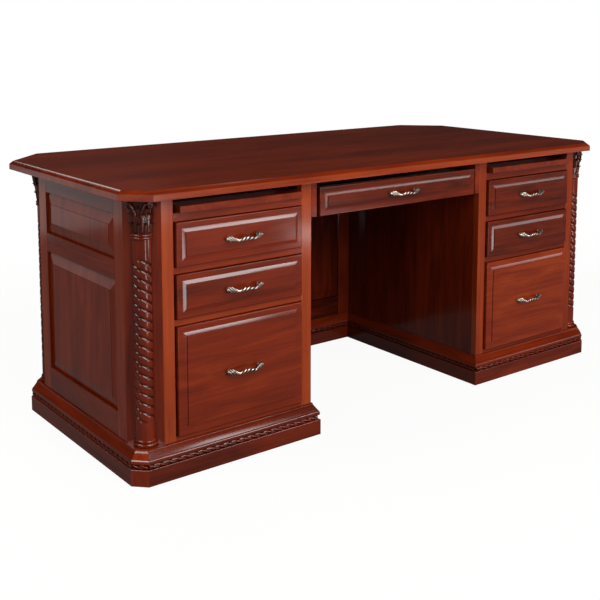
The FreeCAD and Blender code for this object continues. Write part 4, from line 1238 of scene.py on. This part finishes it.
# Rise of the view, as a share of its length, over which the mirrored walls fade from that to dim.
HORIZON = 0.04
# Soft boxes: name, place, aim, width and height in metres, power in watts. Strips light slopes, columns and
# mouldings, boards on the floor light the left sides of slopes, and the others light the broad faces.
LAMPS = (
    ("column strip", (0.0, -4.4, 1.8), (-0.8, -0.4, 0.45), (0.3, 1.8), 27),
    ("front strip", (1.235, -3.85, 0.79), (1.235, 0.0, 0.79), (0.97, 0.92), 25),
    ("inner strip", (1.96, -3.85, 0.95), (1.96, 0.0, 0.95), (0.48, 0.6), 9.5),
    ("lap strip", (3.2, -3.85, 1.17), (3.2, 0.0, 1.17), (1.7, 0.16), 5.5),
    ("right strip", (4.7, -3.85, 0.75), (0.6, -0.4, 0.5), (1.1, 0.8), 8),
    ("fill", (-0.2, -3.6, 3.0), (0.0, -0.4, 0.45), (2.6, 2.6), 112),
    ("moulding strip", (1.9, -2.9, 3.1), (-0.6, -0.4, 0.1), (1.2, 0.5), 15),
    ("left step board", (-0.4, -2.6, 0.02), (-0.4, -2.6, 1.0), (0.34, 1.8), 12),
    ("right step board", (1.42, -2.3, 0.02), (1.42, -2.3, 1.0), (0.45, 0.8), 7),
    ("lap step board", (0.92, -3.95, 0.02), (0.92, -3.95, 1.0), (0.3, 0.7), 4),
    ("left", (-2.8, 0.4, 3.0), (-0.9, 0, 0.4), (1.6, 1.6), 52),
    ("left floor board", (-2.7, 3.9, 0.02), (-2.7, 3.9, 1.0), (1.8, 2.6), 6),
    ("left strip", (-3.4, -1.7, 1.15), (-0.9, -0.4, 0.3), (0.4, 1.6), 18),
    ("over", (0.8, 0.8, 3.2), (0, 0, 0.7), (1.6, 0.8), 4),
    ("back fill", (0.3, 3.4, 3.2), (0.0, 0.4, 0.4), (2.4, 2.4), 50),
)


def seen_or_mirrored(tree, seen, mirrored):
    """How strongly a backdrop shows: one share to the camera, one to reflected and transmitted rays."""
    path = add(tree, "ShaderNodeLightPath").outputs
    both = add(tree, "ShaderNodeMath", {
        0: path["Is Glossy Ray"], 1: path["Is Transmission Ray"]}, operation="ADD")
    part = add(tree, "ShaderNodeMath", {0: both.outputs[0], 1: mirrored}, operation="MULTIPLY", use_clamp=True)
    return add(tree, "ShaderNodeMath", {
        0: path["Is Camera Ray"], 1: seen, 2: part.outputs[0]}, operation="MULTIPLY_ADD").outputs[0]


def pale_floor(shades):
    """Matt painted studio floor: the eye sees it white, with the desk's soft shadow."""
    made, tree, shader = new_material("matt painted studio floor")
    set_shader(shader, Base_Color=linear(shades.floor), Roughness=0.9)
    place = add(tree, "ShaderNodeTexCoord").outputs["Object"]
    away = add(tree, "ShaderNodeVectorMath", {0: place}, operation="LENGTH").outputs["Value"]
    seen, mirrored = (
        add(tree, "ShaderNodeMapRange", {
            "Value": away, "From Min": near, "From Max": far, "To Min": low, "To Max": high}).outputs["Result"]
        for (near, far), low, high in (
            (SWEEP_SEEN, FLOOR_GLOW, 1.0), (SWEEP_MIRRORED, FLOOR_MIRRORED, HORIZON_MIRRORED)))
    glow = add(tree, "ShaderNodeEmission", {"Strength": seen_or_mirrored(tree, seen, mirrored)})
    both = add(tree, "ShaderNodeAddShader", {0: shader.outputs["BSDF"], 1: glow.outputs["Emission"]})
    tree.links.new(both.outputs["Shader"], tree.nodes["Material Output"].inputs["Surface"])
    return made


def studio_world(shades):
    """Dim studio walls for light and reflections, white to the camera and low on the horizon."""
    world = bpy.data.worlds.new("studio")
    bpy.context.scene.world = world
    world.use_nodes = True
    tree = world.node_tree
    tree.nodes.clear()
    way = add(tree, "ShaderNodeTexCoord").outputs["Generated"]
    height = add(tree, "ShaderNodeSeparateXYZ", {"Vector": way}).outputs["Z"]
    low = add(tree, "ShaderNodeMapRange", {
        "Value": height, "From Min": HORIZON, "From Max": 0.0, "To Max": HORIZON_MIRRORED},
        interpolation_type="SMOOTHSTEP").outputs["Result"]
    white = add(tree, "ShaderNodeBackground", {"Color": (1, 1, 1, 1)})
    walls = add(tree, "ShaderNodeBackground", {"Color": linear(shades.studio)})
    both = add(tree, "ShaderNodeMixShader", {
        "Fac": seen_or_mirrored(tree, 1.0, low), 1: walls.outputs["Background"], 2: white.outputs["Background"]})
    add(tree, "ShaderNodeOutputWorld", {"Surface": both.outputs["Shader"]})


def soft_lamp(name, place, aim, size, power):
    """A rectangular soft box aimed at a point."""
    data = bpy.data.lights.new(name, "AREA")
    data.shape = "RECTANGLE"
    data.size, data.size_y = size
    data.energy = power
    lamp = bpy.data.objects.new(name, data)
    lamp.location = place
    lamp.rotation_euler = (Vector(aim) - Vector(place)).to_track_quat("-Z", "Y").to_euler()
    bpy.context.collection.objects.link(lamp)


def stage():
    """Floor, lamps, world and camera."""
    scene = bpy.context.scene
    shades = scene.desk_stage
    mesh = bpy.data.meshes.new("floor")
    corners = [(x * FLOOR_REACH, y * FLOOR_REACH, 0) for x, y in ((-1, -1), (1, -1), (1, 1), (-1, 1))]
    mesh.from_pydata(corners, [], [(0, 1, 2, 3)])
    floor = bpy.data.objects.new("floor", mesh)
    mesh.materials.append(pale_floor(shades))
    scene.collection.objects.link(floor)
    studio_world(shades)
    for lamp in LAMPS:
        soft_lamp(*lamp)
    data = bpy.data.cameras.new("camera")
    data.lens, data.shift_y = shades.lens, shades.shift
    camera = bpy.data.objects.new("camera", data)
    camera.location = shades.place
    camera.rotation_euler = (math.pi / 2 - shades.pitch, 0, -shades.yaw)
    scene.collection.objects.link(camera)
    scene.camera = camera
    scene.view_settings.view_transform = "Standard"


# Operators


class DESK_OT_top(bpy.types.Operator):
    """Makes the glued-up top with its sloped edge"""

    bl_idname = "desk.top"
    bl_label = "Top"

    def execute(self, context):
        desk_top()
        return {"FINISHED"}


class DESK_OT_carcass(bpy.types.Operator):
    """Rounds the arrises of frames, sides, posts, plinth and writing boards"""

    bl_idname = "desk.carcass"
    bl_label = "Carcass"

    def execute(self, context):
        carcass()
        return {"FINISHED"}


class DESK_OT_panels(bpy.types.Operator):
    """Finishes the raised panels"""

    bl_idname = "desk.panels"
    bl_label = "Raised panels"

    def execute(self, context):
        panels()
        return {"FINISHED"}


class DESK_OT_hidden_woodwork(bpy.types.Operator):
    """Finishes the hidden strips and the drawer boxes"""

    bl_idname = "desk.hidden_woodwork"
    bl_label = "Hidden woodwork"

    def execute(self, context):
        hidden_woodwork()
        return {"FINISHED"}


class DESK_OT_drawer_fronts(bpy.types.Operator):
    """Makes the raised drawer fronts"""

    bl_idname = "desk.drawer_fronts"
    bl_label = "Drawer fronts"

    def execute(self, context):
        for drawer in DRAWERS:
            drawer_front(drawer)
        return {"FINISHED"}


class DESK_OT_base(bpy.types.Operator):
    """Makes the base moulding and its rope bead"""

    bl_idname = "desk.base"
    bl_label = "Base moulding and rope"

    def execute(self, context):
        base_moulding()
        rope_bead()
        return {"FINISHED"}


class DESK_OT_columns(bpy.types.Operator):
    """Makes the rope-twist columns"""

    bl_idname = "desk.columns"
    bl_label = "Columns"

    def execute(self, context):
        twisted_columns()
        return {"FINISHED"}


class DESK_OT_capitals(bpy.types.Operator):
    """Carves the leaf capitals"""

    bl_idname = "desk.capitals"
    bl_label = "Capitals"

    def execute(self, context):
        column_capitals()
        return {"FINISHED"}


class DESK_OT_pulls(bpy.types.Operator):
    """Casts the leaf pulls"""

    bl_idname = "desk.pulls"
    bl_label = "Pulls"

    def execute(self, context):
        casting = pull_casting()
        for drawer in DRAWERS:
            drawer_pull(drawer, casting)
        return {"FINISHED"}


class DESK_OT_steel(bpy.types.Operator):
    """Plates the slides and screws"""

    bl_idname = "desk.steel"
    bl_label = "Slides and screws"

    def execute(self, context):
        dress_steel()
        return {"FINISHED"}


class DESK_OT_stage(bpy.types.Operator):
    """Sets floor, lamps, world and camera"""

    bl_idname = "desk.stage"
    bl_label = "Stage"

    def execute(self, context):
        stage()
        return {"FINISHED"}


OPERATORS = (
    DESK_OT_top, DESK_OT_carcass, DESK_OT_panels, DESK_OT_hidden_woodwork, DESK_OT_drawer_fronts,
    DESK_OT_base, DESK_OT_columns, DESK_OT_capitals, DESK_OT_pulls, DESK_OT_steel, DESK_OT_stage,
)


class DESK_PT_looks(bpy.types.Panel):
    """Lists the desk's pieces in the sidebar"""

    bl_idname = "DESK_PT_looks"
    bl_label = "Executive desk"
    bl_space_type = "VIEW_3D"
    bl_region_type = "UI"
    bl_category = "Desk"

    def draw(self, context):
        for operator in OPERATORS:
            self.layout.operator(operator.bl_idname)


CLASSES = (*PROPERTY_GROUPS.values(), *OPERATORS, DESK_PT_looks)


def register():
    """Registers the classes and hangs the properties on the scene."""
    for item in CLASSES:
        bpy.utils.register_class(item)
    for name, group in PROPERTY_GROUPS.items():
        setattr(bpy.types.Scene, name, PointerProperty(type=group))


def unregister():
    """Takes the properties and classes away again."""
    for name in PROPERTY_GROUPS:
        delattr(bpy.types.Scene, name)
    for item in reversed(CLASSES):
        bpy.utils.unregister_class(item)


def main():
    """Registers the classes and makes every piece in order."""
    register()
    for operator in OPERATORS:
        group, name = operator.bl_idname.split(".")
        getattr(getattr(bpy.ops, group), name)()


if __name__ == "__main__":
    main()
